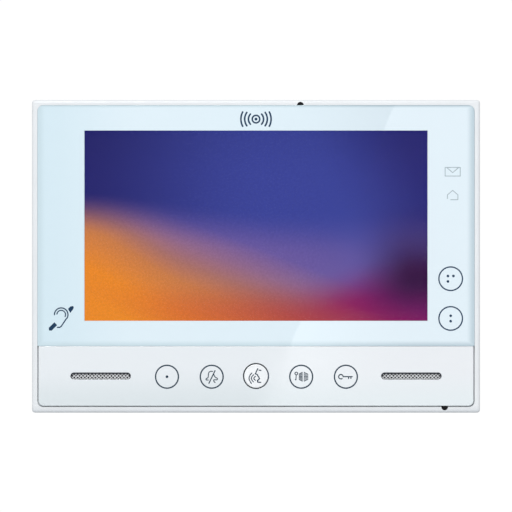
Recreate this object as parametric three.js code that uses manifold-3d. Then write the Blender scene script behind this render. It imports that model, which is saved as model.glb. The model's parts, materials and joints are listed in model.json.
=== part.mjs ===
// Wall-mounted hands-free video intercom monitor with a 7 inch screen, as an assembly. Millimetres.
// It is laid out in a face frame: x to the right, y up, z out of the wall towards the viewer, with
// the origin at the middle of the outline on the wall. The exported group turns that frame upright:
// +Z is up and the screen looks along -Y.
import * as THREE from "three";
import { mergeVertices } from "three/addons/utils/BufferGeometryUtils.js";
import Module from "manifold-3d";

// ---------------------------------------------------------------- driving dimensions
const WIDTH = 202;
const HEIGHT = 141;
const DEPTH = 25; // wall to the front of the rim

const SEAT_GAP = 0.05; // between pieces that rest on each other
const FIT_GAP = 0.3; // around pieces that drop into an opening

// Front bezel
const RIM_SIDE = 2.5;
const RIM_TOP = 2.4;
const RIM_BOTTOM = 2.6;
const RIM_ROUND = 1.2; // rounding of the outer front edge
const BEZEL_DEPTH = 11.5;
const BEZEL_WALL = 2;
const BEZEL_CORNER = 1.4;
const APERTURE_CORNER = 2.6;
const FLANGE_THICKNESS = 1.6; // inner flange that carries the glass and the fascia
const CROSS_BAR = 5.2; // flange bar under the seam between glass and fascia
const FLANGE_SIDE = 4.5; // flange beside the lower opening
const FLANGE_FOOT = 2.4; // flange under the lower opening

// Glass and fascia
const GLASS_THICKNESS = 2;
const GLASS_GAP = 0.14;
const GLASS_SETBACK = 0.1; // glass and fascia lie this far below the rim
const GLASS_CORNER = 2.4;
const TAPE_THICKNESS = 0.2;
const TAPE_MARGIN = 0.9;
const FASCIA_HEIGHT = 26.9;
const FASCIA_GAP = 0.5;
const FASCIA_POST_RADIUS = 1.6;
const SEAM_GAP = 0.06;

// Screen module
const SCREEN = { width: 154.08, height: 85.92 }; // active area
const MODULE = { width: 164.9, height: 100, depth: 5.7, drop: 1.5, skin: 0.5 };
const CLAMP = { sheet: 0.6, reach: 4, foot: 4.6, length: 36, x: -18 };
const SEAL_THICKNESS = 0.5;
const SEAL_WIDTH = 2.2;

// Row of keys and speaker slots in the fascia
const KEY_PITCH = 20.15;
const TALK_HOLE_RADIUS = 5.85;
const TALK_GAP = 0.5; // ring gap around the talk button
const TALK_PROUD = 0.3;
const TALK_TRAVEL = 0.8;
const TALK_FLANGE = 1.1; // radius that the hidden flange adds to the hole's
const TALK_FLANGE_THICKNESS = 0.5;
const SLOT = { width: 27, height: 3.1, inset: 28 }; // inset: slot centre from the fascia's end
const MESH_MARGIN = 1.8;
const MESH_THICKNESS = 0.5;
const MESH_RECESS = 0.9;
const DRIVER = { width: 38, height: 18, flange: 1.2, basket: 3.4, magnet: 8, magnetDepth: 3 };

// Key board behind the fascia
const KEY_BOARD = { width: 98, height: 18, thickness: 1.2, drop: 4.6 };
const SWITCH = { side: 6, height: 2.5, plunger: 1.75, throat: 0.2 };
const LIGHT_GUIDE_THICKNESS = 1;
const LIGHT_PRISM = { side: 5, led: 0.9 };

// Touch strip beside the screen
const SIDE_BOARD = { width: 10.4, height: 89, thickness: 1.2, drop: 3 };
const SIDE_STAND_OFF = 3.8; // glass to the side board
const SIDE_KEY_RADIUS = 4.5;
const SIDE_KEY_DROP = [23.9, 41.8]; // keys below the middle of the screen
const STATUS_RISE = [24.4, 13.9]; // status symbols above the middle of the screen
const SHROUD = { width: 9, height: 24, wall: 0.8 };

// Half-round microphone ports between rim and glass or fascia
const PORT_RADIUS = 1.5;
const PORT_CLEARANCE = 0.15;
const TOP_PORT_X = 20;
const BOTTOM_PORT_INSET = 16; // from the right side of the case
const BOOT = { width: 6.4, height: 4.6, depth: 5, setback: 0.5 };
const CAPSULE = { radius: 1.9, depth: 1.6 };

// Hearing-aid loop coil behind the left strip
const COIL = { width: 12, height: 38, wire: 2.4, depth: 3.6 };

// Rear cover
const COVER_LIFT = 1; // rear wall to the building wall
const COVER_WALL = 2;
const COVER_STEP = 1.4; // cover inside the bezel's outline at the split
const COVER_DRAFT = 2.6; // how much narrower each side is at the back
const COVER_CORNER = 3;
const COVER_CHAMFER = 1.4;
const LIP_HEIGHT = 2;
const LIP_THICKNESS = 1;
const POCKET_DEPTH = 3.5; // recess that takes the wall bracket
const POCKET_FLOOR = 1.8;
const VENT = { width: 2, height: 9, pitch: 6, count: 9 };

// Wall bracket
const BRACKET = { width: 138, height: 76, sheet: 1.2, corner: 4, flange: 2.6 };
const BRACKET_SIDE_GAP = 2;
const BRACKET_TOP_GAP = 1.5;
const CABLE_WINDOW = { width: 64, height: 26, y: -19, corner: 4 };
const HOOK = { width: 8, rise: 4, x: 55, rows: [26, -30] };
const LIFT_TRAVEL = 4.6;
const LIFT_CLEARANCE = 1.9;
const HOOK_CLEARANCE = 0.3;
const WALL_SLOT = { width: 7, height: 3.8, x: [30, 41.75, 58], y: 6 };

// Main board
const BOARD = { width: 150, height: 88, thickness: 1.6, rise: 4.6 };
const BOARD_POST = { radius: 3, inset: 7 };
const TERMINAL = { ways: 4, pitch: 5, height: 8.6, depth: 7.4, x: -14 };
const DIP = { levers: 4, pitch: 2.54, height: 9.6, depth: 5.6, x: 20, travel: 1.6 };
const DIP_LEVER = { width: 1.2, height: 1.6, proud: 0.7, sunk: 0.6 };
const WINDOW_CLEARANCE = 0.8; // around terminals and switches in the cover's floor
const SHIELD = { side: 34, height: 2.6, x: -34, y: 30 };
const TRANSFORMER = { width: 15, height: 12, depth: 6.6, x: -38 };
const CAPACITOR = { radius: 3.2, length: 12, x: -8 };
const SOCKET = { width: 27, height: 5, depth: 2, x: -26 };
const RIBBON_THICKNESS = 0.3;
const RIBBON_WIDTH = 24;
const KEY_RIBBON_WIDTH = 12;
const LEAD_RADIUS = 0.7;

// Screws
const CASE_SCREW = { shank: 1, head: 2.3, headHeight: 1.8, length: 11.5, bite: 4.5, inset: 8.5 };
const BOARD_SCREW = { shank: 0.95, head: 2.2, headHeight: 1.4, length: 4.6 };
const SCREW_CLEARANCE = 0.4;
const PILOT_CLEARANCE = 0.12;
const BOSS_WALL = 1.5;
const CROSS_SLOT = { length: 2.6, width: 0.5, depth: 0.7 };

const ROUND = 32; // sides of visible round pieces
const PLAIN = 12; // sides of hidden round pieces
const CORNER_STEPS = 5; // sides of a quarter round on visible outlines
const HIDDEN_STEPS = 2;

// ---------------------------------------------------------------- places worked out from them
const aperture = {
  width: WIDTH - 2 * RIM_SIDE,
  top: HEIGHT / 2 - RIM_TOP,
  bottom: -HEIGHT / 2 + RIM_BOTTOM,
};
const fascia = {
  width: aperture.width - 2 * FASCIA_GAP,
  bottom: aperture.bottom + FASCIA_GAP,
  top: aperture.bottom + FASCIA_GAP + FASCIA_HEIGHT,
};
const glass = {
  width: aperture.width - 2 * GLASS_GAP,
  bottom: fascia.top + SEAM_GAP,
  top: aperture.top - GLASS_GAP,
};
const seamY = fascia.top + SEAM_GAP / 2;
const screenY = (glass.top + glass.bottom) / 2;
const moduleY = screenY - MODULE.drop;
const rowY = (fascia.top + fascia.bottom) / 2;
const slotX = fascia.width / 2 - SLOT.inset;
const keyColumnX = (SCREEN.width + glass.width) / 4; // middle of the strip beside the screen

const glassFront = DEPTH - GLASS_SETBACK;
const glassBack = glassFront - GLASS_THICKNESS;
const ledgeZ = glassBack - TAPE_THICKNESS - 2 * SEAT_GAP;
const flangeBack = ledgeZ - FLANGE_THICKNESS;
const fasciaBack = ledgeZ + SEAT_GAP;
const moduleFront = glassBack - SEAL_THICKNESS - 2 * SEAT_GAP;
const moduleBack = moduleFront - MODULE.depth;
const splitZ = DEPTH - BEZEL_DEPTH;
const cavity = { width: WIDTH - 2 * BEZEL_WALL, height: HEIGHT - 2 * BEZEL_WALL };

const moduleOpening = {
  width: MODULE.width + 2 * FIT_GAP,
  top: moduleY + MODULE.height / 2 + FIT_GAP,
  bottom: moduleY - MODULE.height / 2 - FIT_GAP,
};
const lowerOpening = {
  width: aperture.width - 2 * FLANGE_SIDE,
  top: Math.min(seamY - CROSS_BAR / 2, moduleOpening.bottom - CROSS_BAR),
  bottom: aperture.bottom + FLANGE_FOOT,
};
const stripX = (moduleOpening.width + cavity.width) / 4; // middle of the flange beside the module
const sideBoardX = Math.max(
  moduleOpening.width / 2 + FIT_GAP + SIDE_BOARD.width / 2,
  keyColumnX,
);
const sideBoardY = screenY - SIDE_BOARD.drop;

const pocketFloorBack = COVER_LIFT + POCKET_DEPTH;
const pocketFloorFront = pocketFloorBack + POCKET_FLOOR;
const coverFloorFront = COVER_LIFT + COVER_WALL;
const bracketTop = BRACKET.height / 2;
const pocket = {
  width: BRACKET.width + 2 * BRACKET_SIDE_GAP,
  top: bracketTop + BRACKET_TOP_GAP,
  bottom: -bracketTop - LIFT_TRAVEL - LIFT_CLEARANCE,
};
const boardBack = pocketFloorFront + BOARD.rise + SEAT_GAP;
const boardFront = boardBack + BOARD.thickness;
const boardY = moduleY + MODULE.height / 2 - 4.2 - BOARD.height / 2;
const upperBandY = (pocket.top + COVER_WALL + boardY + BOARD.height / 2) / 2; // above the pocket
const keyBoardFront = fasciaBack - KEY_BOARD.drop;
const keyBoardBack = keyBoardFront - KEY_BOARD.thickness;
const sideBoardFront = glassBack - SIDE_STAND_OFF;
const bossTop = flangeBack;
const bossBottom = splitZ + LIP_HEIGHT - 0.4;
const caseScrews = [
  [-1, 1],
  [1, 1],
  [-1, -1],
  [1, -1],
].map(([side, end]) => [
  side * (WIDTH / 2 - CASE_SCREW.inset),
  end > 0 ? HEIGHT / 2 - CASE_SCREW.inset - 0.5 : seamY - 0.4,
]);
const boardPosts = [
  [-1, 1],
  [1, 1],
  [-1, -1],
  [1, -1],
].map(([side, end]) => [
  side * (BOARD.width / 2 - BOARD_POST.inset),
  boardY + end * (BOARD.height / 2 - BOARD_POST.inset),
]);

// ---------------------------------------------------------------- solids
const wasm = await Module();
wasm.setup();

// A closed three.js geometry as a manifold-3d solid.
function solidOf(geometry) {
  const flat = geometry.index ? geometry.toNonIndexed() : geometry;
  const bare = new THREE.BufferGeometry().setAttribute("position", flat.getAttribute("position"));
  const merged = mergeVertices(bare, 1e-4);
  const mesh = new wasm.Mesh({
    numProp: 3,
    vertProperties: merged.attributes.position.array,
    triVerts: new Uint32Array(merged.index.array),
  });
  return new wasm.Manifold(mesh);
}

function geometryOf(solid) {
  const mesh = solid.getMesh();
  const geometry = new THREE.BufferGeometry();
  geometry.setAttribute("position", new THREE.BufferAttribute(mesh.vertProperties, 3));
  geometry.setIndex(new THREE.BufferAttribute(mesh.triVerts, 1));
  geometry.computeVertexNormals();
  return geometry;
}

const join = (...solids) => solids.flat().reduce((sum, solid) => sum.add(solid));
const cut = (base, ...tools) => tools.flat().reduce((left, tool) => left.subtract(tool), base);

// Points of a rectangle with round corners, anticlockwise.
function outline({ width, height, radius = 0, x = 0, y = 0, steps = HIDDEN_STEPS }) {
  const points = [];
  const corners = [
    [1, 1, 0],
    [-1, 1, 1],
    [-1, -1, 2],
    [1, -1, 3],
  ];
  for (const [right, up, quarter] of corners) {
    const cx = x + right * (width / 2 - radius);
    const cy = y + up * (height / 2 - radius);
    for (let step = 0; step <= (radius ? steps : 0); step++) {
      const angle = ((quarter + (radius ? step / steps : 0)) * Math.PI) / 2;
      points.push(
        new THREE.Vector2(cx + radius * Math.cos(angle), cy + radius * Math.sin(angle)),
      );
    }
  }
  return points;
}

// A flat plate from z = low to z = high with holes, each an outline.
function plate(edge, holes, low, high) {
  const shape = new THREE.Shape(outline(edge));
  shape.holes = holes.map((hole) => new THREE.Path(outline(hole)));
  const geometry = new THREE.ExtrudeGeometry(shape, { depth: high - low, bevelEnabled: false });
  return solidOf(geometry.translate(0, 0, low));
}

const slab = (edge, low, high) => plate(edge, [], low, high);

// A slab given by its sides instead of its middle.
const between = (left, right, bottom, top) => ({
  width: right - left,
  height: top - bottom,
  x: (left + right) / 2,
  y: (bottom + top) / 2,
});

// A slot with round ends.
const obround = (width, height, x, y, steps = HIDDEN_STEPS) => ({
  width,
  height,
  radius: Math.min(width, height) / 2 - 0.001,
  x,
  y,
  steps,
});

function disc(radius, low, high, x = 0, y = 0, sides = PLAIN) {
  const geometry = new THREE.CylinderGeometry(radius, radius, high - low, sides);
  return solidOf(geometry.rotateX(Math.PI / 2).translate(x, y, (low + high) / 2));
}

// A skin through rounded rectangles at rising z, closed at both ends.
function loft(sections) {
  const rings = sections.map((section) => outline({ steps: CORNER_STEPS, ...section }));
  const count = rings[0].length;
  const positions = rings.flatMap((ring, k) => ring.flatMap((p) => [p.x, p.y, sections[k].z]));
  const index = [];
  for (let k = 0; k + 1 < rings.length; k++) {
    for (let i = 0; i < count; i++) {
      const next = (i + 1) % count;
      const [a, b] = [k * count + i, k * count + next];
      index.push(a, b, b + count, a, b + count, a + count);
    }
  }
  const last = (rings.length - 1) * count;
  for (let i = 1; i + 1 < count; i++) {
    index.push(0, i + 1, i, last, last + i, last + i + 1);
  }
  const geometry = new THREE.BufferGeometry();
  geometry.setAttribute("position", new THREE.Float32BufferAttribute(positions, 3));
  geometry.setIndex(index);
  return solidOf(geometry);
}

// A [y, z] profile drawn out to the given width along x.
function drawn(profile, x, width) {
  const shape = new THREE.Shape(profile.map(([y, z]) => new THREE.Vector2(y, z)));
  const geometry = new THREE.ExtrudeGeometry(shape, { depth: width, bevelEnabled: false });
  const turn = new THREE.Matrix4().set(0, 0, 1, 0, 1, 0, 0, 0, 0, 1, 0, 0, 0, 0, 0, 1);
  return solidOf(geometry.applyMatrix4(turn).translate(x - width / 2, 0, 0));
}

// A flat cable whose centreline is a path in y and z.
function ribbon(path, x, width) {
  const along = path.getPoints(14);
  const edge = (side) =>
    along.map((point, k) => {
      const before = along[Math.max(k - 1, 0)];
      const after = along[Math.min(k + 1, along.length - 1)];
      const across = after.clone().sub(before).normalize().multiplyScalar(RIBBON_THICKNESS / 2);
      return [point.x - side * across.y, point.y + side * across.x];
    });
  return drawn([...edge(1), ...edge(-1).reverse()], x, width);
}

// A round lead through [x, y, z] points.
function lead(points) {
  const path = new THREE.CatmullRomCurve3(points.map((p) => new THREE.Vector3(...p)));
  const section = new THREE.Shape();
  section.absarc(0, 0, LEAD_RADIUS, 0, 2 * Math.PI);
  const options = { steps: 20, curveSegments: 4, extrudePath: path };
  return solidOf(new THREE.ExtrudeGeometry(section, options));
}

// A round solid from a half profile of [radius, z] points that starts and ends on the axis.
function turned(profile, x, y, sides = ROUND) {
  const points = profile.map(([radius, z]) => new THREE.Vector2(radius, z));
  const geometry = new THREE.LatheGeometry(points, sides);
  return solidOf(geometry.rotateX(Math.PI / 2).translate(x, y, 0));
}

// ---------------------------------------------------------------- materials
const plastic = (color, roughness) => new THREE.MeshStandardMaterial({ color, roughness });
const metal = (color, roughness) =>
  new THREE.MeshStandardMaterial({ color, roughness, metalness: 1 });
const finish = {
  case: plastic(0xeceff2, 0.35),
  fascia: plastic(0xe9eef2, 0.2),
  glass: plastic(0xe0f0f8, 0.05),
  tape: plastic(0x33363a, 0.9),
  rubber: plastic(0x0b0b0c, 0.8),
  foam: plastic(0x1c1c1e, 0.95),
  grille: metal(0xa8abb2, 0.4),
  steel: metal(0xb9bdc2, 0.35),
  bracket: metal(0xaeb4b8, 0.45),
  screw: metal(0x8f9498, 0.3),
  copper: metal(0xb86a3a, 0.35),
  screen: plastic(0x3b3f8f, 0.15),
  diffuser: plastic(0xf4f6f7, 0.3),
  board: plastic(0x1f5a3a, 0.5),
  component: plastic(0x1a1b1d, 0.45),
  terminal: plastic(0x3f8a4e, 0.5),
  dip: plastic(0x24519c, 0.4),
  ribbon: plastic(0xc98a2e, 0.4),
  cone: plastic(0x2a2a2c, 0.85),
};

const monitor = new THREE.Group();
monitor.rotation.x = Math.PI / 2; // face frame to upright

function add(name, solid, material) {
  const mesh = new THREE.Mesh(geometryOf(solid), material);
  mesh.name = name;
  monitor.add(mesh);
}

// ---------------------------------------------------------------- front shell
// Sections of the rim's quarter round, from the side wall to the front face.
function rimSections() {
  const steps = 4;
  return Array.from({ length: steps + 1 }, (_, k) => {
    const angle = (k / steps) * (Math.PI / 2);
    const inset = RIM_ROUND * (1 - Math.cos(angle));
    return {
      width: WIDTH - 2 * inset,
      height: HEIGHT - 2 * inset,
      radius: BEZEL_CORNER - inset * 0.5,
      z: DEPTH - RIM_ROUND * (1 - Math.sin(angle)),
    };
  });
}

function frontBezel() {
  const edge = 0.4; // small chamfer at the split line
  const body = loft([
    { width: WIDTH - 2 * edge, height: HEIGHT - 2 * edge, radius: BEZEL_CORNER, z: splitZ },
    { width: WIDTH, height: HEIGHT, radius: BEZEL_CORNER, z: splitZ + edge },
    ...rimSections(),
  ]);
  const high = DEPTH + 1;
  const seat = between(
    -aperture.width / 2,
    aperture.width / 2,
    aperture.bottom,
    aperture.top,
  );
  const openings = [
    between(
      -moduleOpening.width / 2,
      moduleOpening.width / 2,
      moduleOpening.bottom,
      moduleOpening.top,
    ),
    between(
      -lowerOpening.width / 2,
      lowerOpening.width / 2,
      lowerOpening.bottom,
      lowerOpening.top,
    ),
    sideWindow(),
  ];
  const shell = cut(
    body,
    slab({ ...seat, radius: APERTURE_CORNER, steps: CORNER_STEPS }, ledgeZ, high),
    slab({ ...cavity, radius: 1 }, splitZ - 1, flangeBack),
    openings.map((opening) => slab({ ...opening, radius: 1 }, flangeBack - 1, high)),
    ports().map(({ x, y }) => disc(PORT_RADIUS, flangeBack - 0.5, high, x, y, 24)),
  );
  const pilot = CASE_SCREW.shank + PILOT_CLEARANCE;
  const bosses = caseScrews.map(([x, y]) =>
    disc(pilot + BOSS_WALL, bossBottom, bossTop + 0.5, x, y),
  );
  const pilots = caseScrews.map(([x, y]) => disc(pilot, bossBottom - 1, bossTop - 0.4, x, y, 12));
  return cut(join(shell, bosses), pilots);
}

// Window in the flange for the touch strip; it runs into the screen module's opening.
function sideWindow() {
  const right = sideBoardX + SIDE_BOARD.width / 2 + FIT_GAP;
  const reach = SIDE_BOARD.height / 2 + FIT_GAP;
  return between(moduleOpening.width / 2 - 1, right, sideBoardY - reach, sideBoardY + reach);
}

function ports() {
  return [
    { name: "top", x: TOP_PORT_X, y: aperture.top, up: 1 },
    { name: "bottom", x: WIDTH / 2 - BOTTOM_PORT_INSET, y: aperture.bottom, up: -1 },
  ];
}

function displayGlass() {
  const low = glass.bottom - GLASS_CORNER;
  const edge = between(-glass.width / 2, glass.width / 2, low, glass.top);
  const bevel = 0.3;
  const section = (inset, z) => ({
    width: edge.width - 2 * inset,
    height: edge.height - 2 * inset,
    radius: GLASS_CORNER - inset,
    x: edge.x,
    y: edge.y,
    z,
  });
  const sheet = loft([
    section(0, glassBack),
    section(0, glassFront - bevel),
    section(bevel, glassFront),
  ]);
  return squared(sheet, edge, -1);
}

// Squares off the lower (-1) or upper (1) corners of a plate that was made too tall that way.
function squared(solid, edge, side) {
  const end = edge.y + side * (edge.height / 2 - GLASS_CORNER);
  const beyond = { width: 2 * WIDTH, height: HEIGHT, x: 0, y: end + (side * HEIGHT) / 2 };
  return cut(solid, slab(beyond, 1, DEPTH + 1));
}

// Adhesive frame that holds the glass on the flange.
function glassTape() {
  const edge = between(
    -glass.width / 2 + TAPE_MARGIN,
    glass.width / 2 - TAPE_MARGIN,
    glass.bottom + TAPE_MARGIN,
    glass.top - TAPE_MARGIN,
  );
  const hole = between(
    -moduleOpening.width / 2,
    moduleOpening.width / 2,
    moduleOpening.bottom + 0.2,
    moduleOpening.top,
  );
  const low = ledgeZ + SEAT_GAP;
  return cut(
    slab(edge, low, low + TAPE_THICKNESS),
    [hole, sideWindow()].map((window) => slab(window, low - 1, low + 1)),
  );
}

// ---------------------------------------------------------------- fascia, talk button, speakers
function controlFascia() {
  const top = fascia.top + GLASS_CORNER;
  const edge = between(-fascia.width / 2, fascia.width / 2, fascia.bottom, top);
  const bevel = 0.35;
  const section = (inset, z) => ({
    width: edge.width - 2 * inset,
    height: edge.height - 2 * inset,
    radius: GLASS_CORNER - inset,
    x: edge.x,
    y: edge.y,
    z,
  });
  const high = DEPTH + 1;
  const sides = [-1, 1];
  const panel = loft([
    section(0, fasciaBack),
    section(0, glassFront - bevel),
    section(bevel, glassFront),
  ]);
  const body = cut(
    squared(panel, edge, 1),
    disc(TALK_HOLE_RADIUS, fasciaBack - 1, high, 0, rowY, ROUND),
    sides.map((side) =>
      slab(obround(SLOT.width, SLOT.height, side * slotX, rowY, CORNER_STEPS), 0, high),
    ),
    sides.map((side) =>
      slab(meshOutline(side, 0.15), fasciaBack - 1, fasciaBack + MESH_RECESS),
    ),
  );
  const posts = keyBoardPosts().map(([x, y]) =>
    disc(FASCIA_POST_RADIUS, keyBoardFront + SEAT_GAP, fasciaBack + 0.5, x, y, 12),
  );
  return join(body, posts);
}

function meshOutline(side, margin) {
  const width = SLOT.width + 2 * (MESH_MARGIN + margin);
  const height = SLOT.height + 2 * (MESH_MARGIN + margin);
  return { width, height, radius: 1.5, x: side * slotX, y: rowY };
}

function keyBoardPosts() {
  const [x, y] = [KEY_BOARD.width / 2 - 3, KEY_BOARD.height / 2 - 2.4];
  return [
    [-x, rowY - y],
    [x, rowY - y],
    [-x, rowY + y],
    [x, rowY + y],
  ];
}

function speakerMesh(side) {
  const high = fasciaBack + MESH_RECESS - SEAT_GAP;
  return slab(meshOutline(side, 0), high - MESH_THICKNESS, high);
}

const talkRadius = TALK_HOLE_RADIUS - TALK_GAP;
const talkFlangeFront = fasciaBack - 0.25;
const talkFlangeBack = talkFlangeFront - TALK_FLANGE_THICKNESS;
const switchTop = keyBoardFront + SEAT_GAP + SWITCH.height;
const plungerTop = talkFlangeBack - 0.3;

function talkButton() {
  const front = glassFront + TALK_PROUD;
  const flange = TALK_HOLE_RADIUS + TALK_FLANGE;
  return turned(
    [
      [0, plungerTop + SEAT_GAP],
      [SWITCH.plunger, plungerTop + SEAT_GAP],
      [SWITCH.plunger, talkFlangeBack],
      [flange, talkFlangeBack],
      [flange, talkFlangeFront],
      [talkRadius, talkFlangeFront],
      [talkRadius, front - 0.45],
      [talkRadius - 0.13, front - 0.13],
      [talkRadius - 0.45, front],
      [talkRadius - 2.2, front - 0.12],
      [0, front - 0.2],
    ],
    0,
    rowY,
  );
}

function talkPlunger() {
  const bottom = keyBoardFront + SEAT_GAP + SWITCH.throat + TALK_TRAVEL + SEAT_GAP;
  return disc(SWITCH.plunger - 0.1, bottom, plungerTop, 0, rowY);
}

function talkSwitch() {
  const low = keyBoardFront + SEAT_GAP;
  const side = SWITCH.side;
  return cut(
    slab({ width: side, height: side, y: rowY, radius: 0.4 }, low, switchTop),
    disc(SWITCH.plunger + 0.1, low + SWITCH.throat, switchTop + 1, 0, rowY),
  );
}

// Oval loudspeaker: flange, basket and magnet in one moulding, with a hollow for the cone.
function speakerDriver(side) {
  const x = side * slotX;
  const front = driverFront();
  const flangeLow = front - DRIVER.flange;
  const basketLow = flangeLow - DRIVER.basket;
  const oval = (inset) => obround(DRIVER.width - inset, DRIVER.height - inset, x, rowY, 4);
  return cut(
    join(
      slab(oval(0), flangeLow, front),
      slab(oval(5), basketLow, flangeLow + 0.2),
      disc(DRIVER.magnet, basketLow - DRIVER.magnetDepth, basketLow + 0.2, x, rowY, 24),
    ),
    slab(oval(8), basketLow + 1.2, front + 1),
  );
}

const driverFront = () => fasciaBack - SEAT_GAP;

// Cone with its rolled edge, seated in the hollow of the driver.
function speakerCone(side) {
  const x = side * slotX;
  const base = driverFront() - DRIVER.flange - DRIVER.basket + 1.2 + SEAT_GAP;
  const top = driverFront() - 0.4;
  const oval = (inset, z) => ({
    ...obround(DRIVER.width - inset, DRIVER.height - inset, x, rowY, CORNER_STEPS),
    z,
  });
  return cut(
    loft([oval(14, base), oval(9, top)]),
    loft([oval(15.6, base + 0.8), oval(10.6, top + 0.1)]),
  );
}

// ---------------------------------------------------------------- key board behind the fascia
function keyBoard() {
  const edge = { width: KEY_BOARD.width, height: KEY_BOARD.height, y: rowY, radius: 1 };
  return slab(edge, keyBoardBack, keyBoardFront);
}

// Diffuser that carries light from the board to the four touch keys.
function keyLightGuide() {
  const high = fasciaBack - SEAT_GAP;
  const low = high - LIGHT_GUIDE_THICKNESS;
  const hole = TALK_HOLE_RADIUS + TALK_FLANGE + 0.6;
  const prisms = [-2, -1, 1, 2].map((key) =>
    slab(
      {
        width: LIGHT_PRISM.side,
        height: LIGHT_PRISM.side,
        x: key * KEY_PITCH,
        y: rowY,
        radius: 0.8,
      },
      keyBoardFront + LIGHT_PRISM.led,
      low + 0.2,
    ),
  );
  const edge = {
    width: KEY_BOARD.width - 10,
    height: Math.max(KEY_BOARD.height - 1, 2 * (hole + 1)),
    y: rowY,
    radius: 1,
  };
  return join(cut(slab(edge, low, high), disc(hole, low - 1, high + 1, 0, rowY, 24)), prisms);
}

// ---------------------------------------------------------------- touch strip beside the screen
function sideKeyBoard() {
  const edge = { ...SIDE_BOARD, x: sideBoardX, y: sideBoardY, radius: 0.8 };
  return slab(edge, sideBoardFront - SIDE_BOARD.thickness, sideBoardFront);
}

// Conductive rubber mat whose two pads couple the touch keys on the glass to the side board.
function touchMat() {
  const low = sideBoardFront + SEAT_GAP;
  const pads = SIDE_KEY_DROP.map((drop) =>
    disc(SIDE_KEY_RADIUS, low, glassBack - SEAT_GAP, keyColumnX, screenY - drop, 20),
  );
  const web = between(
    keyColumnX - 3,
    keyColumnX + 3,
    screenY - SIDE_KEY_DROP[1],
    screenY - SIDE_KEY_DROP[0],
  );
  return join(pads, slab(web, low, low + 0.8));
}

// Two light wells behind the status symbols.
function statusLightShroud() {
  const middle = screenY + (STATUS_RISE[0] + STATUS_RISE[1]) / 2;
  const well = (SHROUD.height - 3 * SHROUD.wall) / 2;
  const offset = (well + SHROUD.wall) / 2;
  const holes = [1, -1].map((up) => ({
    width: SHROUD.width - 2 * SHROUD.wall,
    height: well,
    x: keyColumnX,
    y: middle + up * offset,
  }));
  const edge = { width: SHROUD.width, height: SHROUD.height, x: keyColumnX, y: middle };
  return plate(edge, holes, sideBoardFront + SEAT_GAP, glassBack - SEAT_GAP);
}

// ---------------------------------------------------------------- screen module
function lcdSeal() {
  const low = moduleFront + SEAT_GAP;
  const edge = (extra) => ({
    width: SCREEN.width + extra,
    height: SCREEN.height + extra,
    y: screenY,
  });
  return plate(edge(2 + 2 * SEAL_WIDTH), [edge(2)], low, low + SEAL_THICKNESS);
}

// Folded steel frame around the screen, open at the back.
function lcdFrame() {
  const { width, height, skin } = MODULE;
  const low = moduleBack + 0.7;
  const edge = (inset) => ({ width: width - 2 * inset, height: height - 2 * inset, y: moduleY });
  const view = { width: SCREEN.width + 1, height: SCREEN.height + 1, y: screenY };
  return cut(
    slab(edge(0), low, moduleFront),
    slab(edge(skin), low - 1, moduleFront - skin),
    slab(view, low - 1, moduleFront + 1),
  );
}

const moduleInner = () => ({
  width: MODULE.width - 2 * MODULE.skin - 2 * FIT_GAP,
  height: MODULE.height - 2 * MODULE.skin - 2 * FIT_GAP,
  y: moduleY,
});
const cellFront = moduleFront - MODULE.skin - SEAT_GAP;
const CELL_THICKNESS = 1.4;
const guideFront = cellFront - CELL_THICKNESS - SEAT_GAP;

const lcdCell = () => slab(moduleInner(), cellFront - CELL_THICKNESS, cellFront);
const lcdLightGuide = () => slab(moduleInner(), moduleBack + 0.7 + SEAT_GAP, guideFront);

// Pressed rear tray of the module.
function lcdTray() {
  const edge = { width: MODULE.width, height: MODULE.height, y: moduleY };
  return slab(edge, moduleBack, moduleBack + 0.7 - SEAT_GAP);
}

// Z-shaped sheet clamp from the flange over the back of the module: up is 1 along the top edge.
function lcdClamp(up) {
  const { sheet, reach, foot } = CLAMP;
  const edge = up > 0 ? moduleOpening.top : moduleOpening.bottom;
  const riser = edge + up * 0.2;
  const inner = edge - up * reach;
  const outer = edge + up * foot;
  const low = moduleBack - SEAT_GAP - sheet;
  const high = flangeBack - SEAT_GAP;
  const profile = [
    [inner, low],
    [riser + up * sheet, low],
    [riser + up * sheet, high - sheet],
    [outer, high - sheet],
    [outer, high],
    [riser, high],
    [riser, low + sheet],
    [inner, low + sheet],
  ];
  return drawn(up > 0 ? profile : profile.reverse(), CLAMP.x, CLAMP.length);
}

// Flat cable from the back of the screen round to its socket on the main board.
const socketFront = boardFront + SEAT_GAP + SOCKET.depth;
const socketY = boardY - BOARD.height / 2 + 12;

function lcdRibbon() {
  const start = moduleBack - FIT_GAP - RIBBON_THICKNESS / 2;
  const end = boardFront + SEAT_GAP + SOCKET.depth / 2;
  const bendY = boardY - BOARD.height / 2 + 3;
  const bulge = 5;
  const path = new THREE.Path();
  path.moveTo(socketY + 8, start);
  path.lineTo(bendY, start);
  path.bezierCurveTo(bendY - bulge, start, bendY - bulge, end, bendY, end);
  path.lineTo(socketY - SOCKET.height / 2 - FIT_GAP, end);
  return ribbon(path, SOCKET.x, RIBBON_WIDTH);
}

// ---------------------------------------------------------------- main board
const onBoardFront = boardFront + SEAT_GAP;
const onBoardBack = boardBack - SEAT_GAP;

function mainBoard() {
  const holes = boardPosts.map(([x, y]) => {
    const side = 2 * (BOARD_SCREW.shank + SCREW_CLEARANCE);
    return { width: side, height: side, radius: side / 2 - 0.001, x, y, steps: 3 };
  });
  const edge = { width: BOARD.width, height: BOARD.height, y: boardY, radius: 2 };
  return plate(edge, holes, boardBack, boardFront);
}

function processorShield() {
  const edge = { width: SHIELD.side, height: SHIELD.side, x: SHIELD.x, y: SHIELD.y, radius: 0.6 };
  return slab(edge, onBoardFront, onBoardFront + SHIELD.height);
}

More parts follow.
